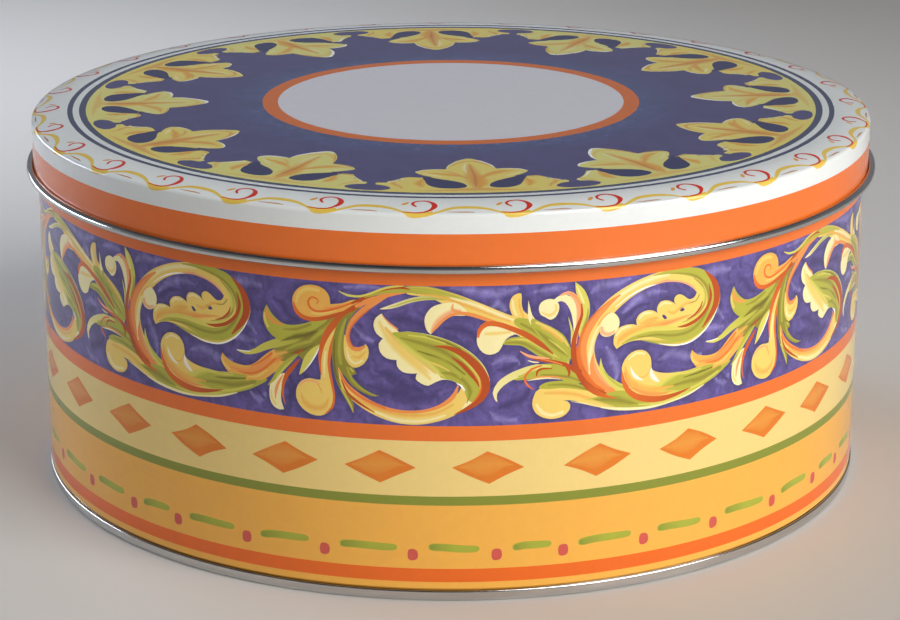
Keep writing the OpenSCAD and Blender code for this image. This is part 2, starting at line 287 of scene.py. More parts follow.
    # Lobed leaf that the rising scroll ends in
    patch("butter", (131, 38.7), (136, 38), (140, 35.6), (142.8, 32.3), (143.8, 29), (143, 25.6),
          (140.3, 21.7), (137, 19), (133, 17.5), (129, 17.2), (125, 18.2), (120.5, 20), (116.5, 20.6),
          (113.3, 20), (111.2, 18.9, 1), (110.3, 20.3), (110.4, 22.6), (111.6, 24.6), (113.8, 25.3),
          (116, 25.2), (117.1, 24.7, 1), (116.8, 26.4), (118, 28), (120.4, 28.6), (122.3, 28),
          (123.2, 27.3, 1), (123, 28.8), (124, 30.4), (126.2, 30.5), (128.2, 29.5), (129.8, 28, 1),
          (128.4, 29.6), (128.5, 31), (129.8, 31.7), (131.4, 31), (133, 29.8), (134.6, 29.9), (135.6, 31.2),
          (134.9, 32.7), (133, 34.2), (130, 35.4), (126, 36.4), (127.5, 38)),
    patch("dusk", (124.6, 26.5), (125.3, 26.6), (126.2, 25.6), (125.4, 25.3)),
    patch("dusk", (129.9, 27.8), (130.9, 27.9), (131.8, 27), (130.6, 26.7)),
    wash("cream", (111, 22.6, .4), (112.6, 24.4, .6), (115.4, 24.8, .4)),
    wash("cream", (117.6, 26.4, .4), (119, 27.8, .6), (121.6, 27.7, .4)),
    wash("cream", (123.7, 29, .4), (125.2, 30, .5), (127.5, 29.3, .3)),
    wash("honey", (111.4, 19.8, .3), (112, 21.6, .8), (114.4, 23, 1), (117.5, 23.6, .8), (121, 25.2, .9),
          (123.6, 26, .4)),
    wash("honey", (117.8, 25, .3), (120.6, 26, .7), (123, 26.2, .3)),
    wash("honey", (126.4, 27.4, .4), (128.4, 26.6, .7), (131.6, 28.6, .6), (134.5, 28.8, .4)),
    wash("honey", (111.6, 20.4, .1), (113.4, 22.2, 1.3), (117.4, 23.4, 1.4), (122, 24.4, 1.3),
         (127, 25, .1)),
    wash("apricot", (119.6, 24, .1), (124, 23.8, .7), (129, 24.6, .8), (134.4, 25.4, .1)),
    brush("lime", (112.4, 20, .1), (116, 21.3, .5), (121, 21.8, .8), (127, 20.6, 1.4), (132, 20, 1.7),
          (137, 21.6, 1.8), (140.4, 25.2, 1.9), (141.2, 29.4, 1.9), (139.8, 33.4, 1.7), (136.4, 36.3, 1.4),
          (132, 37.7, 1.1), (127, 38.3, .6), (121.5, 38, .1)),
    wash("olive", (117, 21.4, .2), (123, 21.3, .5), (129, 20.3, .6), (134.5, 21, .7), (138.6, 24.3, .7),
          (140, 28.6, .7), (138.8, 32.6, .6), (135.4, 35.8, .5), (131.5, 37.2, .3), (127, 37.9, .1)),
    wash("olive", (131, 23.6, .1), (135, 24.4, .4), (138, 27, .5), (138.6, 30.4, .5), (137, 33.4, .4),
          (134.4, 35.6, .2)),
    wash("butter", (130, 26, .3), (134, 26.2, .7), (136.6, 28, .8), (137.2, 31, .6), (135.8, 33.8, .3)),
    wash("olive", (133, 28.6, .1), (135.4, 28.9, .3), (136.6, 30.6, .3)),
    wash("lime", (118, 20.6, .1), (123, 19.4, .8), (128, 18.6, 1), (133.5, 18.8, 1), (138, 21.2, .7),
         (141, 24.4, .1)),
    wash("lemon", (113, 21.4, .1), (117, 22.6, .7), (122, 23.2, .9), (128, 22.6, 1), (133, 23, .9),
         (136.6, 25.4, .1)),
    wash("lemon", (136.2, 25.6, .1), (138, 28.4, .8), (137.6, 31.6, .8), (135.2, 34.6, .1)),
    brush("rust", (138, 37.1, .1), (141.2, 33.8, .8), (142.6, 30, 1.1), (142.2, 26.6, 1), (140.2, 23.6, .7),
          (137.8, 20.9, .15)),
    brush("rust", (139.6, 33, .1), (140.5, 29.6, .45), (139.2, 26.2, .5), (136.2, 23.7, .5),
          (132.6, 22.5, .45), (129.6, 22.5, .1)),
    brush("rust", (137.6, 28.6, .1), (137, 26.8, .3), (135, 25, .3), (132.6, 24.2, .1)),
    brush("white", (124, 18.6, .06), (130, 17.4, .18), (134.5, 17.8, .22), (138.6, 20, .2),
          (141.5, 23.1, .16), (142.8, 25.4, .06)),

    # Calyx: warm leaf, slim leaf, and the two broad green ones
    patch("honey", (2.1, 15.2, 1), (3.8, 13.7), (6.8, 12.8), (10, 12.8), (12.5, 14), (15, 16.2), (18, 18.4),
          (20.8, 18.9), (22.5, 17), (20.4, 14), (17.5, 11.5), (14.5, 9.3), (11.4, 9), (9.3, 8.4, 1),
          (9.5, 10, 1), (6, 9.9), (3.7, 10.1, 1), (2.3, 11.8), (1.6, 13.5)),
    wash("apricot", (4.4, 11.6, .4), (9, 11.2, 1), (13.4, 12.8, 1.2), (17.6, 16.4, 1)),
    wash("orange", (7, 10.7, .2), (11, 10.6, .5), (15, 12.6, .6), (19, 16.4, .5)),
    wash("orange", (11, 12.8, .2), (14, 14.4, .4), (17.6, 17.4, .5)),
    wash("butter", (2.1, 14, .3), (2.5, 12.2, .5), (4.4, 10.8, .4)),
    wash("butter", (10, 9.6, .2), (13, 10.2, .4), (16, 12.4, .3)),
    patch("olive", (19, 21.4), (23, 23.4), (27.5, 26.4), (32, 28.4), (36.5, 30.4), (37.4, 28.6), (34.3, 25),
          (32.2, 22), (31.5, 21.3, 1), (29.4, 18.6), (27, 16), (25, 17.6), (22.5, 16), (20.3, 15.4),
          (18.4, 17.6)),
    wash("honey", (17, 15.6, .1), (18.6, 17, 1.1), (20.2, 17.6, 1), (22.4, 18.2, .1)),
    wash("apricot", (17.6, 14.4, .1), (19.2, 15.6, .8), (21, 16.6, .1)),
    wash("lime", (28, 21.4, .5), (31, 24, .9), (34, 26.8, .8), (36.4, 29, .4)),
    wash("lime", (21, 18.4, .3), (24.4, 20.3, .8), (28, 21.6, .6)),
    brush(("lemon", "lime"), (6.8, 16.7, .1), (9.5, 16.3, .4), (12.5, 17.2, .7), (15.5, 18.9, 1),
          (19, 20.3, 1.2), (23, 21.8, 1.2), (27, 23, .4)),
    brush("white", (6.8, 16.8, .08), (8.6, 16.7, .14), (11, 16.9, .08)),
    patch("lime", (16.2, 30.7, 1), (15.2, 28.6), (15.1, 26.6), (15.9, 24.3), (17.5, 22.4), (19.4, 21.3, 1),
          (23, 21.6), (27, 23.6), (31, 26), (33.4, 28.2), (30.5, 28.1), (27.5, 26.8), (24, 25.9), (21, 26),
          (18.7, 27.4), (17.2, 29)),
    wash("apricot", (16.1, 30, .3), (16.4, 27.9, .8), (18.2, 26.2, .9), (21, 25.6, .4)),
    wash("butter", (15.5, 28.4, .3), (15.6, 26.4, .5), (16.6, 24.4, .5)),
    wash("moss", (20, 20.9, .1), (24, 22.6, .9), (27.4, 23.4, 1.2), (31, 25, .1)),
    wash("olive", (21, 24.4, .3), (25, 24.9, .6), (29, 26.6, .5)),
    wash("moss", (22.4, 17.6, .1), (24.8, 18.6, .6), (27.4, 19.6, .5), (30, 21.4, .1)),
    patch("lemon", (25.2, 12.1, 1), (25.9, 14.6), (27, 17.5), (29, 19.8), (31.5, 21.4, 1), (30.3, 18.6),
          (28.4, 15.4), (26.5, 13)),
    brush("white", (26.6, 13.2, .06), (28.4, 15.5, .18), (30.3, 18.7, .2), (31.4, 21.2, .06)),
    patch("cream", (17.2, 9.6), (16.5, 7.2), (16.6, 4.3), (17.6, 2.4), (19.4, 1.6), (20.7, 1.9, 1), (20, 4),
          (19.9, 6.5), (20.4, 9.2), (21.5, 12), (19.6, 11.6)),
    brush("lime", (25, 17.8, .2), (22.3, 15.5, .75), (19.8, 12.8, .75), (17.6, 9.8, .4), (16.1, 8.1, .1)),
    wash("lemon", (23.4, 16, .2), (21, 13.6, .4), (18.6, 10.6, .3)),
    brush(("rust", "orange"), (25.6, 16.6, .2), (23.4, 14, .6), (21.5, 11.4, .6), (20.5, 8.4, .4),
          (20.5, 5.5, .25), (21.1, 3.3, .1)),
    wash("rust", (24, 18, .3), (25.2, 18.5, .6), (26.6, 19.4, .3)),
    brush(("apricot", "blush"), (20.6, 11.6, .1), (19.2, 9.2, .4), (18.4, 6.8, .4), (18.2, 4.4, .15)),
    wash("butter", (17, 7, .2), (17.2, 4.6, .4), (18.4, 2.8, .4)),

    # Volute at the top of the calyx
    patch("honey", (41, 34.3), (37.5, 33.1), (34.3, 32.6, 1), (34.1, 34.5), (33, 36.3), (30.6, 37.4),
          (27.6, 37.3), (25.2, 36), (23.8, 33.6), (23.9, 30.9), (25.3, 28.8), (28, 27.6), (31.3, 27.9),
          (35, 29.1), (39, 30.6), (43, 32.6)),
    wash("butter", (24.8, 32.2, .5), (25.6, 35, .9), (28.4, 36.4, .8), (31.4, 36, .6)),
    wash("butter", (29, 29.8, .4), (32, 29.8, .6), (36, 31.2, .5)),
    brush(("orange", "rust"), (24, 32.4, .15), (24.5, 30.4, .5), (26.2, 28.6, .6), (29, 28, .6),
          (32.5, 28.6, .55), (36, 29.8, .5), (39, 31, .4)),
    brush("orange", (41.4, 33.9, .2), (37, 32, .35), (33.5, 30.8, .35), (30.6, 30.3, .3), (28.7, 31.2, .3),
          (28.2, 32.9, .3), (29.2, 34.1, .25), (30.6, 33.8, .2), (31, 32.9, .15), (30.4, 32.3, .1)),
    wash("apricot", (38.6, 32.9, .3), (35, 31.8, .4), (32.4, 31.4, .3)),

    # Volute at the foot of the calyx and its stem
    patch("butter", (26, 10.6), (24.5, 8.4), (24.4, 5.4), (26, 2.8), (28.5, 1.4), (31, 1.2), (33.5, 2.5),
          (35, 5), (35.2, 8), (34.5, 11), (33.9, 15), (34.2, 19), (35.3, 23.5), (37.5, 27.5), (40.5, 31),
          (38.5, 31), (35, 27.5), (32.7, 24), (31.4, 20.3), (31, 17), (31.4, 14), (31.3, 11.4, 1),
          (30.2, 11.3), (28.2, 11.5)),
    wash("honey", (25.6, 7.4, .1), (26.6, 4.6, 1.1), (29.4, 3.2, 1.2), (32.4, 4, 1), (33.6, 7, .1)),
    wash("blush", (25.2, 9, .3), (26.8, 10.6, .5), (29.6, 10.8, .5), (31, 10, .3)),
    wash("apricot", (30.4, 10.1, .15), (31.3, 8.7, .3), (31.6, 7.4, .1)),
    wash("cream", (32.4, 12, .2), (32.4, 15.5, .5), (32.8, 19.5, .4)),
    brush("orange", (32.4, 1.9, .1), (34.4, 3.9, .35), (35, 7, .3), (34.4, 11, .35), (33.7, 15.5, .4),
          (34.2, 20, .5), (35.8, 24.6, .5), (38, 28, .4)),
    brush(("orange", "rust"), (31.5, 12.8, .12), (31.2, 16.8, .4), (31.9, 21.2, .7), (34, 25.6, .95),
          (37.2, 29.2, .95), (41, 32.2, .75), (45, 34.6, .4)),

    # Green frond that hangs from the top stem
    patch("olive", (37.8, 29.4), (35.9, 26.6), (34.8, 22.5), (34.6, 18.5), (34.9, 15), (35.6, 11.6),
          (37, 8.5), (38.8, 5.4), (40.2, 2.6, 1), (40.4, 5), (39, 8), (37.4, 11), (36.6, 14.4, 1), (38, 13),
          (40, 10.5), (43, 8.6), (45.5, 7.8), (47.4, 8, 1), (45, 8.7), (42.5, 10.3), (40.8, 12),
          (39.7, 13.2, 1), (41.2, 13.7, 1), (40.6, 15.2), (39.2, 17), (38.3, 20), (38, 24), (38.6, 28),
          (40.8, 31.2)),
    wash("lime", (38.6, 29, .3), (37.2, 25, .7), (36.6, 20, .8), (37, 16, .6)),
    wash("lime", (38.6, 15.6, .4), (40, 12, .5), (43, 9.4, .4), (46.4, 8, .2)),
    wash("lemon", (39.4, 15.4, .3), (40.4, 14.2, .4)),
    wash("lemon", (36, 12.2, .2), (37.4, 8.8, .4), (39.4, 5.2, .4), (40.2, 3, .1)),
    wash("moss", (35.4, 23, .2), (35.1, 18, .4), (35.6, 13, .4), (37, 9.6, .2)),

    # Hooked bud on its stem
    patch("butter", (38.1, 24.4), (37.8, 21), (38.2, 18), (39.5, 16), (41, 15.5), (43, 16.5), (44.4, 18.7),
          (44.5, 21), (43.7, 22.3, 1), (42.5, 20.6), (40.8, 20.2), (39.6, 21.6), (39.2, 24)),
    wash("cream", (38.6, 21, .2), (39.2, 18, .5), (41, 16.6, .5), (43, 17.8, .4)),
    wash("honey", (40, 18.6, .3), (42, 18.4, .6), (43.8, 20.2, .4)),
    brush("apricot", (49.6, 35.4, .08), (46.4, 33.6, .5), (43.6, 31.8, .8), (40.6, 28.6, .75),
          (39, 25.6, .55), (39.1, 22.6, .5), (40.2, 20.9, .55), (42, 20.7, .6), (43.6, 21.7, .25)),
    wash("orange", (45, 32, .3), (41.6, 29, .4), (39.6, 26, .35), (39.4, 23, .3), (40.6, 21, .3)),
    wash("olive", (42.6, 32.6, .15), (40.4, 30.4, .4), (38.9, 27.4, .35), (38.3, 24.6, .1)),

    # Stems that leave for the top right
    brush("apricot", (41, 32.4, .4), (45, 34.2, .7), (50, 36.1, .6), (55, 37.1, .3)),
    brush("butter", (40, 33.5, .2), (43, 34.4, .3), (46, 35.6, .2)),
    brush("rust", (40, 33.2, .3), (44, 35.1, .5), (49, 37.2, .45), (53.5, 38.1, .45), (57.4, 36.6, .1)),
    brush("lime", (43.6, 35, .1), (48, 36.5, .4), (53, 37.3, .5), (58, 36.9, .3), (61, 36.6, .1)),
    brush("lemon", (36.6, 36.4, .08), (39, 35.4, .3), (42.4, 35.3, .3), (45.4, 36.3, .3), (49.5, 38, .3),
          (54, 38.7, .2)),
    brush(("cream", "lime"), (47.7, 32.1, .1), (50.2, 32.7, .5), (53, 33.7, .6), (56, 34.8, .6),
          (60, 35.5, .6), (65, 35, .1)),
    wash("lime", (49.4, 32.5, .05), (52, 33.2, .3), (55, 34.4, .4), (59, 35.3, .4), (63, 35.4, .05)),

    # Band of the falling scroll
    brush("butter", (36.3, 15.2, .1), (37.7, 11, .9), (40.9, 7.3, 1.3), (45.6, 4.4, 1.5), (51, 2.7, 1.8),
          (56, 2.2, 1.9), (61, 2.8, 1.9), (66, 4.9, 2.2), (69.6, 7.8, 2.1), (70.6, 11, 1.4)),
    wash("cream", (46, 3.6, .4), (51, 1.7, .8), (56, 1.2, .8), (61, 1.8, .6), (65, 3.2, .4)),
    wash("honey", (40, 7.6, .3), (46, 4.6, .6), (54, 2.9, .7), (62, 3.6, .6), (67, 6.2, .5)),
    brush("apricot", (36.3, 15, .1), (38.1, 11.1, .5), (41.5, 8, .6), (46.4, 5.4, .55), (52, 4, .45),
          (58, 4, .4), (63.2, 5.5, .5), (66.8, 8.2, .6), (68.2, 11.4, .2)),
    wash("orange", (37, 13.2, .2), (39, 9.9, .35), (43, 7, .35), (49, 4.6, .3)),
    brush("rust", (37, 12, .1), (38.8, 8.2, .35), (42, 5.6, .35), (46, 3.3, .1)),

    # Lobed leaf that the falling scroll ends in
    patch("cream", (48.1, 30.9, 1), (46.5, 29.6), (45.9, 27.5), (46.7, 25.3), (48.4, 24, 1), (47.3, 22.6),
          (47.6, 20.3), (49.3, 18.6), (52, 18.2, 1), (52.1, 16.5), (53.5, 15), (55.6, 14.6),
          (57.4, 14.7, 1), (57, 13.2), (58.3, 12), (60.2, 11.3), (62, 12.2), (64, 13), (66.2, 12.9),
          (68.2, 11.8), (69.8, 9.6), (70.6, 7.4), (69, 4.4), (72.4, 5.4), (75, 8), (76.5, 11), (76.2, 14),
          (74.3, 17.7), (70.5, 21.3), (65.5, 24), (60, 25.6), (55, 26.2), (52.6, 26), (51.8, 27.2),
          (49.7, 28.8)),
    wash("butter", (47.4, 28.8, .5), (48.6, 26, 1), (51, 22.6, 1.4), (54.6, 19, 1.4), (58.6, 15.4, 1.2),
         (61, 13, .5)),
    wash("honey", (49, 27.2, .4), (51.6, 24.2, .9), (55.4, 20.8, .9), (59.6, 17.2, .8), (62.4, 14.8, .4)),
    wash("apricot", (48.2, 30.4, .2), (50, 28.4, .4), (52.4, 26.6, .4)),
    patch("lime", (50.8, 25.6), (52.8, 26), (56, 26.1), (60, 25.5), (65.5, 23.9), (70.4, 21.2), (74.2, 17.6),
          (76, 13.5), (75.2, 9.5), (73, 6.4), (70.6, 7.6), (69.8, 10), (68.2, 12), (66, 13), (63.6, 13.6),
          (62.8, 15.4), (60, 18), (56.6, 20.2), (53, 23.2)),
    wash("olive", (53, 24.4, .3), (58, 23.2, .9), (63.6, 21.2, 1), (68.4, 18, .9), (72, 14, .8)),
    wash("lemon", (55, 25.2, .3), (60, 24.6, .4), (65, 23, .4)),
    wash("moss", (57.4, 21, .2), (62, 19.4, .5), (66.6, 17.2, .5), (70, 14.4, .3)),
    wash("olive", (62.6, 15, .1), (66.6, 14.6, .7), (69.8, 12.6, .8), (71.4, 9.6, .8), (70.4, 6.4, .1)),
    wash("moss", (60, 25, .2), (65, 23.4, .4), (69, 21.4, .3)),
    wash("butter", (59, 18.6, .2), (63, 17, .4), (66, 15.4, .2)),
    wash("lemon", (50.6, 25.4, .1), (53.4, 22.8, .9), (57, 19.8, 1), (60.4, 17.4, 1), (63, 15, .8),
         (65, 13.4, .1)),
    wash("butter", (50, 24.6, .1), (53, 21.4, 1), (57, 17.8, 1.1), (61, 14.6, .1)),
    wash("lime", (60, 19.6, .4), (64, 18, 1), (67, 15.8, .9), (69, 13.4, .5)),
    brush("rust", (61.8, 22.3, .1), (65, 22, .5), (69, 20.4, .85), (72.8, 17, 1.1), (75.2, 13, 1.2),
          (75.2, 9.6, 1.1), (73.3, 6.8, .8), (70.3, 4.8, .5), (67.2, 3.3, .1)),
    wash("orange", (72, 15.4, .2), (74, 12.4, .5), (74, 9.4, .5), (72, 6.6, .3)),
    brush("rust", (66.4, 19.3, .1), (69, 17.4, .5), (71.3, 14.9, .55), (73.1, 12.4, .35), (73.8, 10.8, .1)),
    wash("lemon", (67.4, 20.2, .1), (71, 17, .3), (73.7, 13.2, .35), (73.9, 10.2, .1)),
    brush("white", (67.8, 11.9, .05), (69, 11.4, .25), (70, 10, .1)),
]

# Palmettes on the lid, in degrees from the leaf's axis and millimetres from the lid's centre
PALMETTE = [
    # Scalloped ring with the leaf that hangs from it
    patch("straw", (-15.8, 110.2, 1), (15.8, 110.2, 1), (15.8, 101.4, 1), (13.3, 100.7), (13.6, 99.4),
          (11.6, 98.4), (11.8, 95.8), (10.4, 94.3), (8.8, 94.5), (7.2, 93.9), (5, 93.4), (2, 95.5),
          (-2, 95.5), (-5, 93.4), (-7.2, 93.9), (-8.8, 94.5), (-10.4, 94.3), (-11.8, 95.8), (-11.6, 98.4),
          (-13.6, 99.4), (-13.3, 100.7), (-15.8, 101.4, 1)),
    wash("ochre", (-9, 108.2, .1), (-4, 107.4, 1.2), (0, 106.4, 2), (4, 107.4, 1.2), (9, 108.2, .1)),
    *both(wash("saffron", (7.6, 105, .1), (8.4, 102, 1.7), (8.5, 98.8, 1.5), (8.1, 95.4, .1))),
    *both(wash("ochre", (10.6, 107, .1), (11.2, 104, .9), (12.6, 101.2, .9), (12, 98.4, .1))),
    patch("straw", (-2, 101, 1), (2, 101, 1), (2.2, 98.6), (3.6, 96.2), (6, 94.4), (8.4, 91.9), (9.9, 89),
          (9, 86.9), (7, 85.6), (4.7, 85.3, 1), (4.5, 83.8), (4.1, 81), (2.6, 76.7), (0, 73.4),
          (-2.6, 76.7), (-4.1, 81), (-4.5, 83.8), (-4.7, 85.3, 1), (-7, 85.6), (-9, 86.9), (-9.9, 89),
          (-8.4, 91.9), (-6, 94.4), (-3.6, 96.2), (-2.2, 98.6)),
    wash("ochre", (0, 105, 1), (0, 100, 2.4), (0, 94, 3), (0, 87, 2.4), (0, 80, 1)),
    wash("saffron", (1, 95.4, .1), (3.2, 91, 1.5), (6, 88.2, 1.2), (8.6, 88, .1)),
    wash("saffron", (-.6, 94.6, .1), (-3.4, 91.4, 1.5), (-6, 90, 1.2), (-8.2, 89.4, .1)),
    wash("pearl", (5, 93.8, .1), (7.2, 91.6, .9), (8.8, 89.4, .1)),
    wash("pearl", (-4.8, 93.8, .1), (-6.8, 91.6, .9), (-8.6, 89.4, .1)),
    wash("pearl", (-1, 90, .1), (-1.2, 84, 1), (-.9, 78.4, .1)),
    wash("straw", (2.4, 84, .6), (2.4, 80.6, 1), (1.2, 76.6, .5)),
    wash("ochre", (-6, 86.8, .3), (-4, 88, .8), (-2.4, 91, .7), (-1, 95, .3)),
    wash("ochre", (6.4, 86.8, .3), (4.2, 88, .8), (2.4, 91, .7), (1, 95, .3)),
    wash("ochre", (-4, 83, .1), (-2.8, 79.2, .7), (0, 76.4, .7), (2.8, 79.2, .7), (4, 83, .1)),
    *both(wash("pearl", (13.5, 101.8, .1), (12.9, 100, .6), (11.9, 97.4, .8), (10.8, 95, .1))),
    wash("saffron", (.4, 106, .1), (.9, 101, 2.2), (.8, 95.4, 2.6), (.3, 89.6, 1.3), (0, 83, .1)),
    wash("umber", (0, 104, .1), (.2, 98, .9), (.3, 92, .5), (.1, 86, .35), (-.1, 78.5, .1)),

    # Teardrops beside the neck, and the gap between two arms
    patch("midnight", (2.1, 103.4), (2.9, 105), (4.7, 105.2), (6.4, 103.4), (7.4, 100.2), (8, 97.4),
          (8.7, 95.2), (8.9, 93.6, 1), (7.4, 93.4, 1), (6.6, 94.6), (5.7, 95.5), (3.9, 97.5), (2.5, 100.2)),
    patch("midnight", (-1.3, 103.4), (-2.3, 105.2), (-4.6, 105.4), (-6.4, 103.8), (-7.4, 100.6),
          (-7.8, 97.6), (-8.2, 95.6), (-8.3, 93.8, 1), (-7.2, 93.6, 1), (-6.4, 94.8), (-5.4, 95.8),
          (-3.4, 97.6), (-1.8, 100.2)),
    patch("navy", (11.6, 106.4), (12.6, 108.6), (15, 109.3), (17.4, 108.6), (18.4, 106.4), (17.3, 103.9),
          (15.9, 103.2), (15.7, 101.6), (16.6, 100.2), (18, 97.6), (19.5, 93.6, 1), (10.5, 93.6, 1),
          (12, 97.6), (13.4, 100.2), (14.3, 101.6), (14.1, 103.2), (12.7, 103.9)),
]

# Inks of every second palmette in place of the others', which make it paler, and its shift in degrees
PALE_LEAF = {"straw": "wheat", "ochre": "maize", "pearl": "ivory"}
PALE_SHIFT = -0.7

# Rims of the golden palmettes
GOLDEN_RIMS = [
    brush("white", (4.5, 84, .05), (4.05, 81, .24), (2.6, 76.9, .26), (.9, 74.3, .06)),
    brush("pearl", (-4.5, 84, .05), (-4.05, 81, .26), (-2.6, 76.9, .28), (-.9, 74.3, .06)),
    brush("white", (5.2, 85.2, .05), (7.2, 85.6, .2), (9.1, 86.9, .2), (9.9, 88.8, .05)),
    brush("white", (-5.2, 85.2, .05), (-7.2, 85.6, .12), (-9.1, 86.9, .12), (-9.9, 88.8, .05)),
    brush("saffron", (3.9, 83.4, .05), (3.5, 81, .22), (2.2, 77.6, .22), (.6, 75.2, .05)),
    brush("saffron", (8.4, 94.8, .05), (9.6, 95, .22), (10.8, 95.2, .22), (11.6, 96.8, .05)),
]

# Rims of the paler palmettes
PALE_RIMS = [
    brush("white", (-4.6, 84.6, .1), (-4.2, 81, .36), (-2.7, 76.8, .5), (-.4, 73.7, .42), (1.4, 74.9, .1)),
    brush("white", (-5, 85.3, .1), (-7.1, 85.6, .28), (-9.1, 86.9, .36), (-9.8, 89, .2)),
    brush("white", (-12.2, 100, .05), (-11, 98, .22), (-10.1, 95.8, .26), (-9.2, 94.6, .1)),
    brush("saffron", (1.2, 75.4, .05), (2.5, 77.4, .24), (3.9, 81.2, .26), (4.4, 84.4, .2)),
    brush("saffron", (5, 85.7, .1), (7, 86, .26), (8.8, 87.2, .26), (9.6, 88.8, .08)),
    brush("saffron", (8, 94.8, .1), (9.2, 95, .3), (10.6, 95, .3), (11.6, 96.6, .05)),
]


def leaf_marks(scale, step):
    """Marks of a golden palmette and of a paler one a step further round, in millimetres across."""
    leaves = ((0, {}, GOLDEN_RIMS), (step + PALE_SHIFT, PALE_LEAF, PALE_RIMS))
    placed = [(mark, shift, inks) for mark in PALMETTE for shift, inks, rims in leaves]
    placed += [(mark, shift, {}) for shift, inks, rims in leaves for mark in rims]
    return [(kind, inks.get(ink, ink), tuple(((x + shift) * scale, y, *rest) for x, y, *rest in points))
            for (kind, ink, points), shift, inks in placed]


# Running scroll on the lid's edge, in millimetres along the edge and outwards from where its shoulder starts
EDGE_SCROLL = [
    brush("mustard", (2.4, 9.5, .3), (5, 8, .5), (8, 6.3, .65), (11.4, 5.85, .75), (15, 6.2, .65),
          (18, 7.2, .5), (20.6, 8.75, .35), (23, 9.8, .3)),
    patch("mustard", (-5, 8.2), (-2, 8.75), (.8, 8.75), (2.8, 8), (2.6, 9.6), (.6, 10.2), (-1.6, 10.5),
          (-3.6, 10.1)),
    brush("sienna", (6.4, 8.3, .06), (9, 8.4, .2), (12, 8.4, .24), (13.8, 8.65, .12)),
    brush("ochre", (-5.5, 4.85, .3), (-4.7, 3.9, .65), (-3.9, 2.85, .3)),
    brush("red", (-5, 8.6, .12), (-2, 8.9, .24), (.6, 8.6, .3), (2.3, 7.3, .45), (3.2, 5.75, .75),
          (3.2, 4.45, .75), (2.6, 3.1, .6), (1.4, 2, .46), (0, 1.6, .42), (-1.6, 2, .42), (-2.6, 3.1, .44),
          (-2.6, 4.4, .42), (-1.5, 5.7, .28)),
]


# Lozenges of the pale band: middles that the front shows, in millimetres along the wall, and how many in all
LOZENGE_FRONT = (-129.3, -100.7, -73.3, -45.8, -19, 10, 40.2, 68.3, 97.2, 124.2)
LOZENGE_COUNT = 28

# How far the lozenges' corners stray, and how quickly that changes from one to the next
LOZENGE_LEAN, LOZENGE_CHANGE = 0.5, 2.4


def lozenge_marks(turn):
    """Lozenges all round the wall; turn is the way round it."""
    middles = list(LOZENGE_FRONT)
    hidden = LOZENGE_COUNT - len(middles)
    gap = (middles[0] + turn - middles[-1]) / (hidden + 1)
    middles += [middles[-1] + gap * (place + 1) for place in range(hidden)]
    marks = []
    for number, middle in enumerate(middles):
        lean = LOZENGE_LEAN * math.sin(LOZENGE_CHANGE * number)
        at = middle + turn / 2
        marks.append(patch("toffee", (at - 9.7, 38.2 - lean, 1), (at - 4.6, 40.6), (at + lean, 43, 1),
                           (at + 4.8, 40.8), (at + 9.7, 38.4 + lean, 1), (at + 4.6, 36),
                           (at - lean, 33.7, 1), (at - 5, 36)))
        marks.append(wash("peach", (at - 8.6, 38.3 - lean, .1), (at - 5, 38.6, 1.7), (at - 1.4, 38.9, 3.3),
                          (at + 1.6, 39.3, 2.6), (at + 4.4, 39.2, 1), (at + 7, 38.8, .1)))
    return marks


# Dots of the amber band, each with a painted dash on its right: gaps from dot to dot, lengths of the dashes,
# how often these come round, place of the first dot, and way from a dot to its dash, in millimetres
DOT_GAPS = (23.7, 23.3, 24.3, 22.6, 18.3)
DASH_LENGTHS = (15.5, 14.5, 15.8, 13.7, 10.8)
DOT_REPEATS = 7
FIRST_DOT = -81.5
DOT_TO_DASH = 4.2

# How far the dashes stray up and down, and how quickly that changes from one to the next
DASH_SWAY, DASH_CHANGE = 0.3, 1.7


def dash_marks(turn):
    """Dots and dashes all round the wall; turn is the way round it."""
    stretch = turn / DOT_REPEATS / sum(DOT_GAPS)
    marks = []
    at = turn / 2 + FIRST_DOT
    for number in range(DOT_REPEATS * len(DOT_GAPS)):
        step = number % len(DOT_GAPS)
        length = DASH_LENGTHS[step]
        sway = DASH_SWAY * math.sin(DASH_CHANGE * number)
        marks.append(patch("berry", (at - 1.4, 12.4), (at - 1.3, 14.5), (at - .2, 15),
                           (at + 1.1, 14.6 + sway / 2), (at + 1.4, 13), (at + .9, 11.9), (at - .6, 11.6)))
        left = at + DOT_TO_DASH
        right = left + length
        marks.append(patch("leaf", (left, 15.3 - sway), (left + .7, 16.3 - sway), (left + length * .3, 16.6),
                           (left + length * .7, 16.4 + sway), (right - .7, 16.2 + sway),
                           (right, 15.4 + sway), (right - .7, 14.5 + sway), (left + length * .7, 14.3 + sway),
                           (left + length * .3, 14.4), (left + .7, 14.3 - sway)))
        marks.append(brush(("fern", "leaf"), (left + .4, 15.3 - sway, .5), (left + 1.6, 15.3 - sway, .9),
                           (left + length * .3, 15.5, .9), (left + length * .5, 15.45 + sway, .8)))
        at += DOT_GAPS[step] * stretch
    return marks


# How finely the print is cut, in millimetres: thinnest stroke, steps along outlines, and the grid between
# them with its least gaps to the outlines and to the repeat's sides
THINNEST = 0.05
PATCH_STEP, BRUSH_STEP, WASH_STEP = 1.3, 1.6, 2.2
GRID, OUTLINE_GAP, SIDE_GAP = 2.2, 0.6, 0.5
CUT_TOLERANCE = 1e-4

# Pull of a corner's straight sides, as a share of their length
CORNER_PULL = 0.3

# Darkening of a ground along the outlines: its share there, and how far it reaches in millimetres
HALO_SHARE, HALO_REACH = 0.85, 0.9


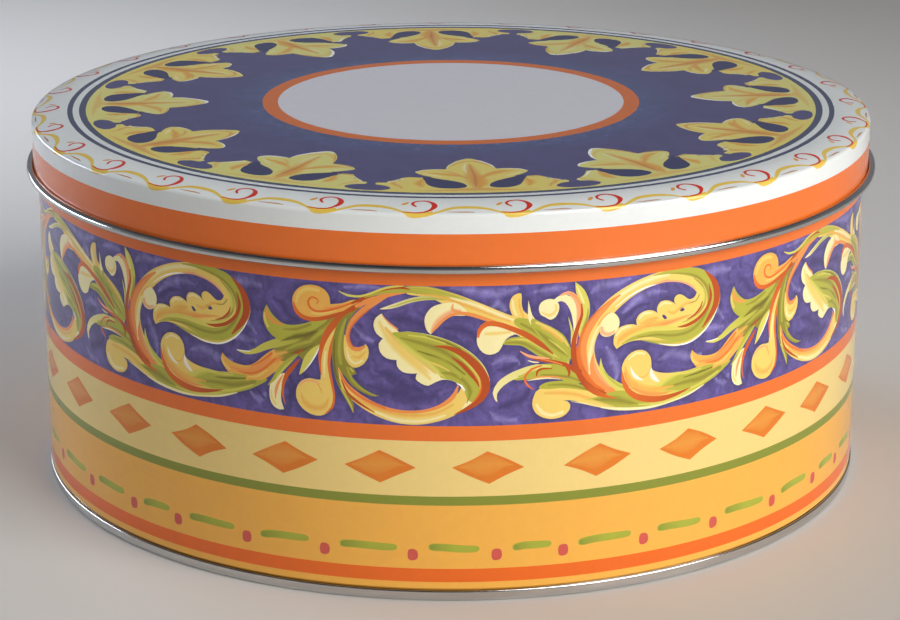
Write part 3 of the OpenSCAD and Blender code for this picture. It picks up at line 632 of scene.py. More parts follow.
def smooth(points, closed, step):
    """Spots along the smooth curve through the points; a closed curve's third numbers make corners."""
    count = len(points)
    corner = [closed and len(point) > 2 for point in points]
    spots = np.array([point[:2] for point in points] if closed else points, float)
    found = []
    for at in range(count if closed else count - 1):
        here, there = spots[at], spots[(at + 1) % count]
        before = spots[at - 1] if closed or at > 0 else here
        after = spots[(at + 2) % count] if closed or at < count - 2 else there
        leave = (there - here) * CORNER_PULL if corner[at] else (there - before) / 2
        arrive = (there - here) * CORNER_PULL if corner[(at + 1) % count] else (after - here) / 2
        parts = max(2, math.ceil(math.dist(here[:2], there[:2]) / step))
        for part in range(parts):
            t = part / parts
            found.append((2 * t ** 3 - 3 * t ** 2 + 1) * here + (t ** 3 - 2 * t ** 2 + t) * leave
                         + (3 * t ** 2 - 2 * t ** 3) * there + (t ** 3 - t ** 2) * arrive)
    if not closed:
        found.append(spots[-1])
    return np.array(found)


def brush_ring(line):
    """Closed outline of a brush stroke: one side of its middle line out, the other back."""
    run = np.gradient(line[:, :2], axis=0)
    run /= np.linalg.norm(run, axis=1)[:, None]
    across = np.stack([-run[:, 1], run[:, 0]], axis=1) * np.maximum(line[:, 2:3], THINNEST)
    return np.concatenate([line[:, :2] + across, (line[:, :2] - across)[::-1]])


def inside(spots, ring):
    """Which spots lie in a closed ring, by its winding number."""
    x, y = spots[:, :1], spots[:, 1:]
    ax, ay = ring.T
    bx, by = np.roll(ring, -1, axis=0).T
    side = (bx - ax) * (y - ay) - (x - ax) * (by - ay)
    turns = ((ay <= y) & (by > y) & (side > 0)).sum(axis=1) - ((ay > y) & (by <= y) & (side < 0)).sum(axis=1)
    return turns != 0


def share_out(spots, line):
    """How far each spot lies from a stroke's middle line, as a share of the half width there, 1 at most."""
    start, run = line[:-1], np.diff(line, axis=0)
    away = spots[:, None, :] - start[None, :, :2]
    along = np.clip((away * run[:, :2]).sum(axis=2) / (run[:, :2] ** 2).sum(axis=1), 0, 1)
    gap = np.linalg.norm(away - along[:, :, None] * run[:, :2], axis=2)
    half = np.maximum(start[:, 2] + along * run[:, 2], THINNEST)
    return np.minimum((gap / half).min(axis=1), 1)


def spot_tree(spots):
    """A search tree of flat spots."""
    tree = kdtree.KDTree(len(spots))
    for number, spot in enumerate(spots):
        tree.insert((*spot, 0), number)
    tree.balance()
    return tree


class Repeat:
    """One repeat of the print, cut flat into triangles with an ink at every corner."""

    def __init__(self, marks, ground, start, width, low, high, columns, levels=(), halo=None):
        self.start, self.width, self.low, self.high = start, width, low, high
        self.columns, self.levels = columns, levels
        self.marks = [copy for mark in marks for copy in self.copies(mark)]
        self.cut()
        self.lay_ground(ground, halo)
        for mark in self.marks:
            self.lay(*mark)

    def copies(self, mark):
        """The mark, and its neighbours' marks that reach into this repeat."""
        kind, ink, points = mark
        step = {"patch": PATCH_STEP, "brush": BRUSH_STEP, "wash": WASH_STEP}[kind]
        line = smooth(points, kind == "patch", step)
        ring = line if kind == "patch" else brush_ring(line)
        for side in (-1, 0, 1):
            shift = side * self.width
            moved = ring + (shift, 0)
            if moved[:, 0].max() > self.start and moved[:, 0].min() < self.start + self.width:
                yield kind, ink, moved, line + (shift, 0) if kind == "patch" else line + (shift, 0, 0)

    def cut(self):
        """Cuts the repeat along every outline, its own border and the given levels."""
        spots, edges = [], []

        def trace(path, closed):
            first = len(spots)
            spots.extend(path)
            last = len(spots) - 1
            edges.extend((at, at + 1) for at in range(first, last))
            if closed:
                edges.append((last, first))

        across = np.linspace(self.start, self.start + self.width, self.columns + 1)
        rows = max(2, round((self.high - self.low) / GRID))
        up = np.linspace(self.low, self.high, rows + 1)
        for level in (self.low, self.high, *self.levels):
            trace([(x, level) for x in across], False)
        for x in (across[0], across[-1]):
            trace([(x, y) for y in up], False)
        for kind, ink, ring, line in self.marks:
            trace([tuple(spot) for spot in ring], True)
            if kind == "wash":
                trace([tuple(spot) for spot in line[:, :2]], False)
        tree = spot_tree(spots)
        first, last = self.start + SIDE_GAP, self.start + self.width - SIDE_GAP
        for row, y in enumerate(up[1:-1]):
            for x in across[:-1] + (0.5 + 0.5 * (row % 2)) * self.width / self.columns:
                if first < x < last and tree.find((x, y, 0))[2] > OUTLINE_GAP:
                    spots.append((x, y))
        found = delaunay_2d_cdt(spots, edges, [], 0, CUT_TOLERANCE, False)
        self.spots = np.array([tuple(spot) for spot in found[0]])
        faces = np.array(found[2])
        middles = self.spots[faces].mean(axis=1)
        keep = (middles[:, 0] > self.start) & (middles[:, 0] < self.start + self.width)
        keep &= (middles[:, 1] > self.low) & (middles[:, 1] < self.high)
        self.faces, self.middles = faces[keep], middles[keep]

    def lay_ground(self, ground, halo):
        """Covers the repeat with one ink, darkened close to the outlines where a halo is given."""
        self.inks = np.zeros((len(self.faces), 3, 3)) + linear(INKS[ground])
        if not halo:
            return
        edge = np.concatenate([ring for kind, ink, ring, line in self.marks if kind == "patch"])
        tree = spot_tree(edge)
        near = np.array([tree.find((*spot, 0))[2] for spot in self.spots])
        share = (HALO_SHARE * np.exp(-near / HALO_REACH))[self.faces][:, :, None]
        self.inks += share * (np.array(linear(INKS[halo])) - self.inks)

    def lay(self, kind, ink, ring, line):
        """Lays one mark over what is there."""
        low, high = ring.min(axis=0), ring.max(axis=0)
        close = np.flatnonzero(((self.middles > low) & (self.middles < high)).all(axis=1))
        if not len(close):
            return
        hit = close[inside(self.middles[close], ring)]
        if not len(hit):
            return
        corners = self.spots[self.faces[hit]].reshape(-1, 2)
        first, last = (ink, ink) if isinstance(ink, str) else ink
        colour = np.array(linear(INKS[first])) + np.zeros((len(corners), 3))
        if first != last:
            away = np.linalg.norm(corners[:, None] - line[None, :, :2], axis=2)
            reach = away.argmin(axis=1) / (len(line) - 1)
            colour += reach[:, None] * (np.array(linear(INKS[last])) - colour)
        cover = 1 - share_out(corners, line) if kind == "wash" else np.ones(len(corners))
        cover = np.sqrt(cover).reshape(-1, 3, 1)
        self.inks[hit] += cover * (colour.reshape(-1, 3, 3) - self.inks[hit])


class TinSizes(bpy.types.PropertyGroup):
    """Sizes of the tin's sheet pieces"""

    ring_radius: bpy.props.FloatProperty(
        name="Base ring radius", description="Outside radius of the folded ring under the wall",
        default=BASE_HIGH[0], unit="LENGTH")
    ring_proud: bpy.props.FloatProperty(
        name="Ring proud of wall", description="How far the folded ring stands out from the wall",
        default=0.4 * MM, unit="LENGTH")
    ring_height: bpy.props.FloatProperty(
        name="Ring height", description="Height of the folded ring", default=2.9 * MM, unit="LENGTH")
    panel_top: bpy.props.FloatProperty(
        name="Base panel height", description="Height of the base panel's upper face",
        default=BASE_HIGH[2], unit="LENGTH")
    tin_height: bpy.props.FloatProperty(
        name="Tin height", description="Height of the closed tin", default=LID_HIGH[2], unit="LENGTH")
    lid_foot: bpy.props.FloatProperty(
        name="Lid foot", description="Height of the underside of the lid's curl",
        default=LID_LOW[2], unit="LENGTH")
    sheet: bpy.props.FloatProperty(
        name="Sheet", description="Thickness of the tinplate", default=0.3 * MM, unit="LENGTH")
    layer_gap: bpy.props.FloatProperty(
        name="Layer gap", description="Gap between the layers of the folded ring",
        default=0.03 * MM, unit="LENGTH")
    neck_height: bpy.props.FloatProperty(
        name="Neck height", description="Height over which the wall is drawn in above the ring",
        default=0.7 * MM, unit="LENGTH")
    curl_diameter: bpy.props.FloatProperty(
        name="Curl diameter", description="Diameter of the curls of the lid and of the wall's rim",
        default=2.4 * MM, unit="LENGTH")
    lid_clearance: bpy.props.FloatProperty(
        name="Lid clearance", description="Gap all round between the wall and the lid's skirt",
        default=0.9 * MM, unit="LENGTH")
    lid_seat_gap: bpy.props.FloatProperty(
        name="Lid seat gap", description="Gap between the lid's shoulder and the rim",
        default=0.3 * MM, unit="LENGTH")
    lid_shoulder: bpy.props.FloatProperty(
        name="Lid shoulder radius", description="Outside radius of the soft shoulder round the lid's panel",
        default=31.2 * MM, unit="LENGTH")
    lid_edge: bpy.props.FloatProperty(
        name="Lid edge radius", description="Outside radius of the lid's edge",
        default=1.2 * MM, unit="LENGTH")
    base_bend: bpy.props.FloatProperty(
        name="Base bend radius", description="Outside radius of the base's bends",
        default=0.6 * MM, unit="LENGTH")
    seam_width: bpy.props.FloatProperty(
        name="Side seam width", description="Width of the folded side seam", default=5 * MM, unit="LENGTH")
    groove_width: bpy.props.FloatProperty(
        name="Groove width", description="Width of the side seam's groove outside",
        default=0.4 * MM, unit="LENGTH")
    groove_depth: bpy.props.FloatProperty(
        name="Groove depth", description="Depth of that groove", default=0.15 * MM, unit="LENGTH")

    def mm(self, name):
        """A size in millimetres."""
        return getattr(self, name) / MM


def sizes():
    """The tin's sizes as the panel holds them."""
    return bpy.context.scene.tin_sizes


# Heights of the wall's printed bands, and radii of the lid's
AMBER_FOOT, EMBER_TOP, DASH_LOW = 5.4, 9.3, 10.0
AMBER_TOP, FERN_TOP, VANILLA_TOP, FRIEZE_LOW, FRIEZE_TOP = 27.6, 30.2, 45.9, 50.2, 88.9
DISC_R, DISC_RING_R, LEAF_LOW_R, LEAF_TOP_R = 52.45, 57.15, 72.0, 110.0
LINE_RADII = (112.0, 113.9, 115.5)
SKIRT_WHITE_Z = 103.3
SCROLL_IN, SCROLL_OUT = 0.3, 10.9
PANEL_STEP = 3.0

# Repeats of the print: drawn width of the frieze in millimetres and its span at the front in degrees,
# and numbers of palmettes and scrolls with the first one's turn in degrees
FRIEZE_WIDTH = 132.5
FRIEZE_FRONT = 60.73
PALMETTES, PALMETTE_TURN = 12, 3.7
SCROLLS, SCROLL_TURN = 31, -3.47

# Steps round the tin, and a third of the way round
STEPS = 360
THIRD = 2 * math.pi / 3

# Columns that one repeat is cut into, and steps down the lid's shoulder and round its edge bend
FRIEZE_COLUMNS, PALMETTE_COLUMNS, SCROLL_COLUMNS = 60, 60, 12
SHOULDER_PARTS, BEND_PARTS = 6, 5

# Gaps that count as none, in millimetres, and the least cosine between directions that count as the same
NEAR = 0.02
MERGE_GAP = 0.002
FACING = 0.9

# Least share of a normal that makes a face of the wall look outwards, or one of the lid outwards or upwards
WALL_OUTWARDS, LID_OUTWARDS = 0.5, 0.8

# Least radius to divide by, height above the curl's middle from which the lid's skirt is straight, in
# millimetres, and the parts of a millimetre that the rim's height is rounded down to
LEAST_R = 1e-6
CURL_CLEAR = 1
HUNDREDTHS = 100

# Sharper bends than this are edges
SMOOTH_ANGLE = math.radians(40)

# Layout of the wall's colour map: rows a third of the way round, and a strip for bare faces
# as left, low, width and height
ROW_WIDE, ROW_HIGH, ROW_MARGIN = 0.955, 0.318, 0.005
WALL_STRIP = (0.01, 0.962, 0.98, 0.034)

# Layout of the lid's colour map: a disc about its middle, and a strip for bare faces
DISC_MIDDLE, DISC_REACH = 0.424, 0.42
LID_STRIP = (0.86, 0.005, 0.135, 0.99)

# Unfolding of the bare faces: sharpest bend within one patch of the map, and the gap between patches
MAP_ANGLE = math.radians(66)
MAP_MARGIN = 0.002

# Slope at which the lid's shoulder runs into its edge bend, a fall of 7 in 24
SLOPE = math.asin(7 / 25)


def arc(r, z, radius, start, end, parts):
    """Section points along an arc about (r, z)."""
    turns = [math.radians(start + (end - start) * part / parts) for part in range(parts + 1)]
    return [(r + radius * math.cos(turn), z + radius * math.sin(turn)) for turn in turns]


def layers():
    """Radii of the folded ring's layers from outside to inside, and the wall's own radius."""
    size = sizes()
    step = size.mm("sheet") + size.mm("layer_gap")
    ring = size.mm("ring_radius")
    return {"wall": ring - size.mm("ring_proud"), "ring": ring, "wall_hook": ring - step,
            "base_hook": ring - 2 * step, "neck": ring - 3 * step, "riser": ring - 4 * step}


def deselect():
    """Leaves edit mode, and deselects every object."""
    if bpy.context.object and bpy.context.object.mode != "OBJECT":
        bpy.ops.object.mode_set(mode="OBJECT")
    bpy.ops.object.select_all(action="DESELECT")


def edit(piece):
    """Opens one piece alone in edit mode."""
    deselect()
    piece.select_set(True)
    bpy.context.view_layer.objects.active = piece
    bpy.ops.object.mode_set(mode="EDIT")
    bpy.ops.mesh.select_mode(type="VERT")
    bpy.ops.mesh.select_all(action="DESELECT")


def turned(name, section):
    """A round shell: a circle at the section's first point, extruded from ring to ring along the rest."""
    deselect()
    bpy.ops.mesh.primitive_circle_add(vertices=STEPS, radius=section[0][0] * MM)
    piece = bpy.context.object
    piece.name = piece.data.name = name
    bpy.ops.object.mode_set(mode="EDIT")
    bpy.ops.mesh.select_mode(type="VERT")
    bpy.ops.mesh.select_all(action="SELECT")
    bpy.ops.transform.translate(value=(0, 0, section[0][1] * MM))
    for (r, z), (next_r, next_z) in zip(section, section[1:]):
        bpy.ops.mesh.extrude_region_move(TRANSFORM_OT_translate={"value": (0, 0, (next_z - z) * MM)})
        if next_r == 0:
            bpy.ops.mesh.merge(type="CENTER")
        else:
            bpy.ops.transform.resize(value=(next_r / r, next_r / r, 1), center_override=(0, 0, 0))
    bpy.ops.object.mode_set(mode="OBJECT")
    return piece


def printed(name, repeat, spans, place):
    """A printed skin: the repeat wrapped round the tin once for each (middle, span) in degrees."""
    spots, faces, inks = [], [], []
    for middle, span in spans:
        shares = (repeat.spots[:, 0] - repeat.start) / repeat.width - 0.5
        turns = np.radians(middle + shares * span)
        r, z = place(repeat.spots[:, 1])
        faces.append(repeat.faces + sum(len(done) for done in spots))
        spots.append(np.stack([r * np.sin(turns), -r * np.cos(turns), z], axis=1) * MM)
        inks.append(repeat.inks)
    used, index = np.unique(np.concatenate(faces), return_inverse=True)
    mesh = bpy.data.meshes.new(name)
    mesh.from_pydata(np.concatenate(spots)[used].tolist(), [], index.reshape(-1, 3).tolist())
    layer = mesh.color_attributes.new("ink", "FLOAT_COLOR", "CORNER")
    shades = np.concatenate(inks).reshape(-1, 3)
    layer.data.foreach_set("color", np.concatenate([shades, np.ones((len(shades), 1))], axis=1).ravel())
    piece = bpy.data.objects.new(name, mesh)
    bpy.context.scene.collection.objects.link(piece)
    edit(piece)
    bpy.ops.mesh.select_all(action="SELECT")
    bpy.ops.mesh.remove_doubles(threshold=MERGE_GAP * MM)
    deselect()
    return piece


def joined(piece, *others):
    """One piece of several."""
    deselect()
    for other in (piece, *others):
        other.select_set(True)
    bpy.context.view_layer.objects.active = piece
    bpy.ops.object.join()
    return piece


def bridge(piece, *loops):
    """Closes the gap between two open rings, each given as (radius, height)."""
    edit(piece)
    bpy.ops.mesh.select_mode(type="EDGE")
    shape = bmesh.from_edit_mesh(piece.data)

    def on_loop(spot):
        r, z = math.hypot(spot.x, spot.y) / MM, spot.z / MM
        return any(math.hypot(r - loop_r, z - loop_z) < NEAR for loop_r, loop_z in loops)

    for edge in shape.edges:
        edge.select_set(len(edge.link_faces) == 1 and all(on_loop(vert.co) for vert in edge.verts))
    bmesh.update_edit_mesh(piece.data)
    bpy.ops.mesh.bridge_edge_loops()
    deselect()


def face_places(mesh):
    """Radius and height of every face's middle in millimetres, and its normal outwards and upwards."""
    middles = np.zeros(len(mesh.polygons) * 3)
    mesh.polygons.foreach_get("center", middles)
    normals = np.zeros(len(mesh.polygons) * 3)
    mesh.polygons.foreach_get("normal", normals)
    middles, normals = middles.reshape(-1, 3) / MM, normals.reshape(-1, 3)
    r = np.hypot(middles[:, 0], middles[:, 1])
    outwards = (middles[:, :2] * normals[:, :2]).sum(axis=1) / np.maximum(r, LEAST_R)
    return r, middles[:, 2], outwards, normals[:, 2]


def corner_faces(mesh):
    """Number of the face that each corner belongs to."""
    totals = np.zeros(len(mesh.polygons), int)
    mesh.polygons.foreach_get("loop_total", totals)
    return np.repeat(np.arange(len(totals)), totals)


def corner_spots(mesh):
    """Place of every corner in millimetres."""
    verts = np.zeros(len(mesh.vertices) * 3)
    mesh.vertices.foreach_get("co", verts)
    index = np.zeros(len(mesh.loops), int)
    mesh.loops.foreach_get("vertex_index", index)
    return verts.reshape(-1, 3)[index] / MM


def ink_plain(mesh, rules):
    """Inks whole faces: each rule is an ink and the faces that take it."""
    layer = mesh.color_attributes["ink"]
    shades = np.zeros(len(mesh.loops) * 4)
    layer.data.foreach_get("color", shades)
    shades = shades.reshape(-1, 4)
    of_face = corner_faces(mesh)
    for ink, faces in rules:
        shades[faces[of_face]] = (*linear(INKS[ink]), 1)
    layer.data.foreach_set("color", shades.ravel())


def ink_ring(mesh, ink, faces, radius):
    """Inks the corners of faces that lie at one radius, so that the faces run from ink to ink."""
    layer = mesh.color_attributes["ink"]
    spots = corner_spots(mesh)
    near = faces[corner_faces(mesh)] & (abs(np.hypot(spots[:, 0], spots[:, 1]) - radius) < NEAR)
    for corner in np.flatnonzero(near):
        layer.data[corner].color = (*linear(INKS[ink]), 1)


def finish(piece, body, node, materials, bare, true_normals):
    """Gives a piece its materials, shading and place in the frame."""
    mesh = piece.data
    mesh.materials.clear()
    for material in materials:
        mesh.materials.append(material)
    numbers = bare.astype(int) if len(materials) > 1 else np.zeros(len(bare), int)
    mesh.polygons.foreach_set("material_index", numbers)
    deselect()
    piece.select_set(True)
    bpy.context.view_layer.objects.active = piece
    bpy.ops.object.shade_smooth_by_angle(angle=SMOOTH_ANGLE)
    if true_normals:
        normals = np.zeros(len(mesh.loops) * 3)
        mesh.corner_normals.foreach_get("vector", normals)
        normals = true_normals(mesh, normals.reshape(-1, 3))
        mesh.normals_split_custom_set(normals.tolist())
    mesh.update()
    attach(piece, body)
    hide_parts(node)


def lay_map(piece, bare, spots, left, low, wide, high):
    """Lays out a piece's colours: print at given spots of the map, bare faces in a strip beside it."""
    mesh = piece.data
    for layer in list(mesh.uv_layers):
        mesh.uv_layers.remove(layer)
    mesh.uv_layers.new(name="OFBake")
    edit(piece)
    bpy.ops.mesh.select_mode(type="FACE")
    shape = bmesh.from_edit_mesh(mesh)
    for face, chosen in zip(shape.faces, bare):
        face.select_set(bool(chosen))
    bmesh.update_edit_mesh(mesh)
    bpy.ops.uv.smart_project(angle_limit=MAP_ANGLE, island_margin=MAP_MARGIN)
    deselect()
    layer = mesh.uv_layers["OFBake"]
    found = np.zeros(len(mesh.loops) * 2)
    layer.uv.foreach_get("vector", found)
    strip = np.array([left, low]) + found.reshape(-1, 2) * np.array([wide, high])
    of_face = corner_faces(mesh)
    layer.uv.foreach_set("vector", np.where(bare[of_face][:, None], strip, spots).ravel())


def close_shell(piece):
    """Merges what meets, and turns every face outwards."""
    edit(piece)
    bpy.ops.mesh.select_all(action="SELECT")
    bpy.ops.mesh.remove_doubles(threshold=MERGE_GAP * MM)
    bpy.ops.mesh.normals_make_consistent(inside=False)
    shape = bmesh.from_edit_mesh(piece.data)
    loose = sum(1 for edge in shape.edges if len(edge.link_faces) != 2)
    deselect()
    if loose:
        raise RuntimeError(f"{piece.name} isn't closed: {loose} edges")


def wall_section():
    """Section of the wall's sheet from its print's top, over the rim and down inside, to its foot."""
    size, ring = sizes(), layers()
    sheet, wall, neck, hook = size.mm("sheet"), ring["wall"], ring["neck"], ring["wall_hook"]
    curl = size.mm("curl_diameter") / 2
    curl_r, curl_z = wall - curl, rim_height() - curl
    ring_top = size.mm("ring_height")
    foot = ring_top + size.mm("neck_height")
    fold = (hook - neck + sheet) / 2
    fold_r, fold_z = (hook + neck - sheet) / 2, sheet + size.mm("layer_gap") + fold
    hook_top = ring_top - sheet - size.mm("layer_gap")
    return (arc(curl_r, curl_z, curl, 0, 300, 24) + arc(curl_r, curl_z, curl - sheet, 300, 0, 18)
            + [(wall - sheet, foot), (neck - sheet, ring_top)]
            + arc(fold_r, fold_z, fold, 180, 360, 10) + [(hook, hook_top), (hook - sheet, hook_top)]
            + arc(fold_r, fold_z, fold - sheet, 360, 180, 6)
            + [(neck, ring_top), (wall, foot), (wall, AMBER_FOOT), (wall, EMBER_TOP)])


# Side seam: how far from it the wall is cut, its folded layers, and the steepest tilt of an upright face
SEAM_REACH = 10 * MM
SEAM_LAYERS = 3
UPRIGHT = 0.1


def cut_seam(piece):
    """Cuts the side seam at the back: a fine groove outside, and the folded layers inside."""
    size, ring = sizes(), layers()
    wall, sheet = ring["wall"], size.mm("sheet")
    rim = rim_height()
    foot, top = size.mm("ring_height") + size.mm("neck_height"), rim - size.mm("curl_diameter")
    half_groove, half_seam = size.groove_width / 2, size.seam_width / 2

    def pick(radius, half_width, kinds):
        """Selects the faces of one side of the wall near the back."""
        edit(piece)
        bpy.ops.mesh.select_mode(type="FACE")
        shape = bmesh.from_edit_mesh(piece.data)
        for face in shape.faces:
            middle = face.calc_center_median()
            r, z = math.hypot(middle.x, middle.y) / MM, middle.z / MM
            upright = abs(r - radius) < NEAR and abs(face.normal.z) < UPRIGHT
            face.select_set(upright and middle.y > 0 and abs(middle.x) < half_width and kinds(z))
        bmesh.update_edit_mesh(piece.data)

    for x in (-half_groove, 0, half_groove):
        pick(wall, SEAM_REACH, lambda z: z > foot - NEAR)
        bpy.ops.mesh.bisect(plane_co=(x, 0, 0), plane_no=(1, 0, 0))
    pick(wall, SEAM_REACH, lambda z: z > foot - NEAR)
    bpy.ops.mesh.bisect(plane_co=(0, 0, top * MM), plane_no=(0, 0, 1))
    edit(piece)
    shape = bmesh.from_edit_mesh(piece.data)
    for vert in shape.verts:
        r, z = math.hypot(vert.co.x, vert.co.y) / MM, vert.co.z / MM
        middle = abs(vert.co.x) < NEAR * MM and vert.co.y > 0 and abs(r - wall) < NEAR
        vert.select_set(middle and foot + NEAR < z < top - NEAR)
    bmesh.update_edit_mesh(piece.data)
    bpy.ops.transform.translate(value=(0, -size.groove_depth, 0))
    for x in (-half_seam, half_seam):
        pick(wall - sheet, SEAM_REACH, lambda z: foot < z < rim)
        bpy.ops.mesh.bisect(plane_co=(x, 0, 0), plane_no=(1, 0, 0))
    pick(wall - sheet, SEAM_REACH, lambda z: foot < z < rim)
    bpy.ops.mesh.bisect(plane_co=(0, 0, top * MM), plane_no=(0, 0, 1))
    pick(wall - sheet, half_seam, lambda z: foot < z < top)
    bpy.ops.mesh.extrude_region_move(TRANSFORM_OT_translate={"value": (0, -SEAM_LAYERS * size.sheet, 0)})
    deselect()


def wall_normals(mesh, normals):
    """Normals of the wall's print straight out from the tin's axis, so that it mirrors the light evenly."""
    wall = layers()["wall"]
    spots = corner_spots(mesh)
    r = np.hypot(spots[:, 0], spots[:, 1])
    out = np.stack([spots[:, 0] / r, spots[:, 1] / r, np.zeros(len(r))], axis=1)
    even = (abs(r - wall) < NEAR) & (spots[:, 2] > AMBER_FOOT) & ((normals * out).sum(axis=1) > FACING)
    normals[even] = out[even]
    return normals


def wall_map(piece, bare):
    """Lays out the wall's print in three rows, each a third of the way round."""
    mesh = piece.data
    middles = np.zeros(len(mesh.polygons) * 3)
    mesh.polygons.foreach_get("center", middles)
    x, y = middles.reshape(-1, 3)[:, :2].T
    row = np.clip(np.floor(np.arctan2(x, -y) / THIRD + 1.5), 0, 2)[corner_faces(mesh)]
    spots = corner_spots(mesh)
    turn = np.arctan2(spots[:, 0], -spots[:, 1]) - (row - 1) * THIRD
    turn = (turn + math.pi) % (2 * math.pi) - math.pi
    across = 0.5 + ROW_WIDE * turn / THIRD
    up = (ROW_MARGIN + row + spots[:, 2] / sizes().mm("tin_height")) * ROW_HIGH
    lay_map(piece, bare, np.stack([across, up], axis=1), *WALL_STRIP)


def raised(mark):
    """A mark of the frieze, lifted to the frieze's height on the wall."""
    kind, ink, points = mark
    return kind, ink, tuple((x, y + FRIEZE_LOW, *rest) for x, y, *rest in points)


# How far from the wall's own radius its outside is printed, in millimetres
PRINT_REACH = 0.3


class TIN_OT_wall(bpy.types.Operator):
    """Builds the rolled wall with its printed bands, rim curl, side seam and foot"""

    bl_idname = "tin.wall"
    bl_label = "Build wall"

    def execute(self, context):
        wall = layers()["wall"]
        turn = 2 * math.pi * wall
        section = wall_section()

        def upright(heights):
            return np.full(len(heights), wall), heights

        frieze = Repeat([raised(mark) for mark in FRIEZE], "violet", 0, FRIEZE_WIDTH, FRIEZE_LOW, FRIEZE_TOP,
                        FRIEZE_COLUMNS, halo="dusk")
        back = (360 - 3 * FRIEZE_FRONT) / 3
        spans = [(side * FRIEZE_FRONT, FRIEZE_FRONT) for side in (-1, 0, 1)]
        spans += [(180 + side * back, back) for side in (-1, 0, 1)]
        lozenges = Repeat(lozenge_marks(turn), "vanilla", 0, turn, FERN_TOP, VANILLA_TOP, STEPS)
        dashes = Repeat(dash_marks(turn), "amber", 0, turn, DASH_LOW, AMBER_TOP, STEPS)
        piece = joined(turned("body_wall_tinplate", section),
                       printed("frieze", frieze, spans, upright),
                       printed("lozenges", lozenges, [(0, 360)], upright),
                       printed("dashes", dashes, [(0, 360)], upright))
        bridge(piece, (wall, EMBER_TOP), (wall, DASH_LOW))
        bridge(piece, (wall, AMBER_TOP), (wall, FERN_TOP))
        bridge(piece, (wall, VANILLA_TOP), (wall, FRIEZE_LOW))
        bridge(piece, (wall, FRIEZE_TOP), section[0])
        cut_seam(piece)
        close_shell(piece)
        mesh = piece.data
        r, z, outwards = face_places(mesh)[:3]
        size = sizes()
        rim_z = section[0][1]
        outside = (abs(r - wall) < PRINT_REACH) & (outwards > WALL_OUTWARDS)
        outside &= (z > size.mm("ring_height")) & (z < rim_z)
        curl = size.mm("curl_diameter") / 2
        outside |= (z > rim_z) & (np.hypot(r - (wall - curl), z - rim_z) > curl - size.mm("sheet") / 2)
        ink_plain(mesh, [
            ("amber", outside & (z < AMBER_FOOT)),
            ("ember", outside & (z > AMBER_FOOT) & (z < EMBER_TOP)),
            ("amber", outside & (z > EMBER_TOP) & (z < DASH_LOW)),
            ("fern", outside & (z > AMBER_TOP) & (z < FERN_TOP)),
            ("tangerine", outside & (z > VANILLA_TOP) & (z < FRIEZE_LOW)),
            ("tangerine", outside & (z > FRIEZE_TOP)),
        ])
        wall_map(piece, ~outside)
        finish(piece, "tin", "body_wall", [printed_tinplate(), bare_tinplate()], ~outside,
               wall_normals)
        return {"FINISHED"}


def lid_places():
    """Sizes of the lid's section: top, shoulder, edge bend, skirt and curl."""
    size = sizes()
    inner = layers()["wall"] + size.mm("lid_clearance")
    skirt = inner + size.mm("sheet")
    shoulder, bend = size.mm("lid_shoulder"), size.mm("lid_edge")
    top = size.mm("tin_height")
    edge_r = skirt - bend
    curl = size.mm("curl_diameter") / 2
    return {"top": top, "inner": inner, "skirt": skirt, "sheet": size.mm("sheet"),
            "shoulder": shoulder, "panel_r": edge_r - (shoulder - bend) * math.sin(SLOPE),
            "shoulder_z": top - shoulder, "shoulder_way": shoulder * SLOPE,
            "bend": bend, "edge_r": edge_r, "edge_z": top - shoulder + (shoulder - bend) * math.cos(SLOPE),
            "bend_way": bend * (math.pi / 2 - SLOPE),
            "curl": curl, "curl_r": inner + curl, "curl_z": size.mm("lid_foot") + curl}


def rim_height():
    """Height of the wall's rim, whose curl comes up to the inside of the lid's shoulder."""
    lid = lid_places()
    reach = lid["shoulder"] - lid["sheet"] - sizes().mm("lid_seat_gap") - lid["curl"]
    across = layers()["wall"] - lid["curl"] - lid["panel_r"]
    rim = lid["shoulder_z"] + math.sqrt(reach ** 2 - across ** 2) + lid["curl"]
    return math.floor(rim * HUNDREDTHS) / HUNDREDTHS


def over_edge(out):
    """Radius and height of spots on the lid by their way outwards from the start of its shoulder."""
    lid = lid_places()
    on_bend = out > lid["shoulder_way"]
    soft = np.clip(out / lid["shoulder"], 0, SLOPE)
    tight = np.clip(SLOPE + (out - lid["shoulder_way"]) / lid["bend"], SLOPE, math.pi / 2)
    below = np.maximum(out - lid["shoulder_way"] - lid["bend_way"], 0)
    soft_r = lid["panel_r"] + np.minimum(out, 0) + lid["shoulder"] * np.sin(soft)
    r = np.where(on_bend, lid["edge_r"] + lid["bend"] * np.sin(tight), soft_r)
    soft_z = lid["shoulder_z"] + lid["shoulder"] * np.cos(soft)
    z = np.where(on_bend, lid["edge_z"] + lid["bend"] * np.cos(tight) - below, soft_z)
    return r, z


def lid_tilt(r, z):
    """How far the lid's outside is tilted from level beside a spot, and how far the spot stands off it."""
    lid = lid_places()
    soft_r, soft_z = np.maximum(r - lid["panel_r"], 0), z - lid["shoulder_z"]
    tight_r, tight_z = np.maximum(r - lid["edge_r"], 0), np.maximum(z - lid["edge_z"], 0)
    soft = np.arctan2(soft_r, soft_z)
    on_bend = soft > SLOPE
    tilt = np.where(on_bend, np.arctan2(tight_r, tight_z), soft)
    off_bend = np.hypot(tight_r, tight_z) - lid["bend"]
    off_shoulder = np.hypot(soft_r, soft_z) - lid["shoulder"]
    return tilt, np.where(on_bend, off_bend, off_shoulder)


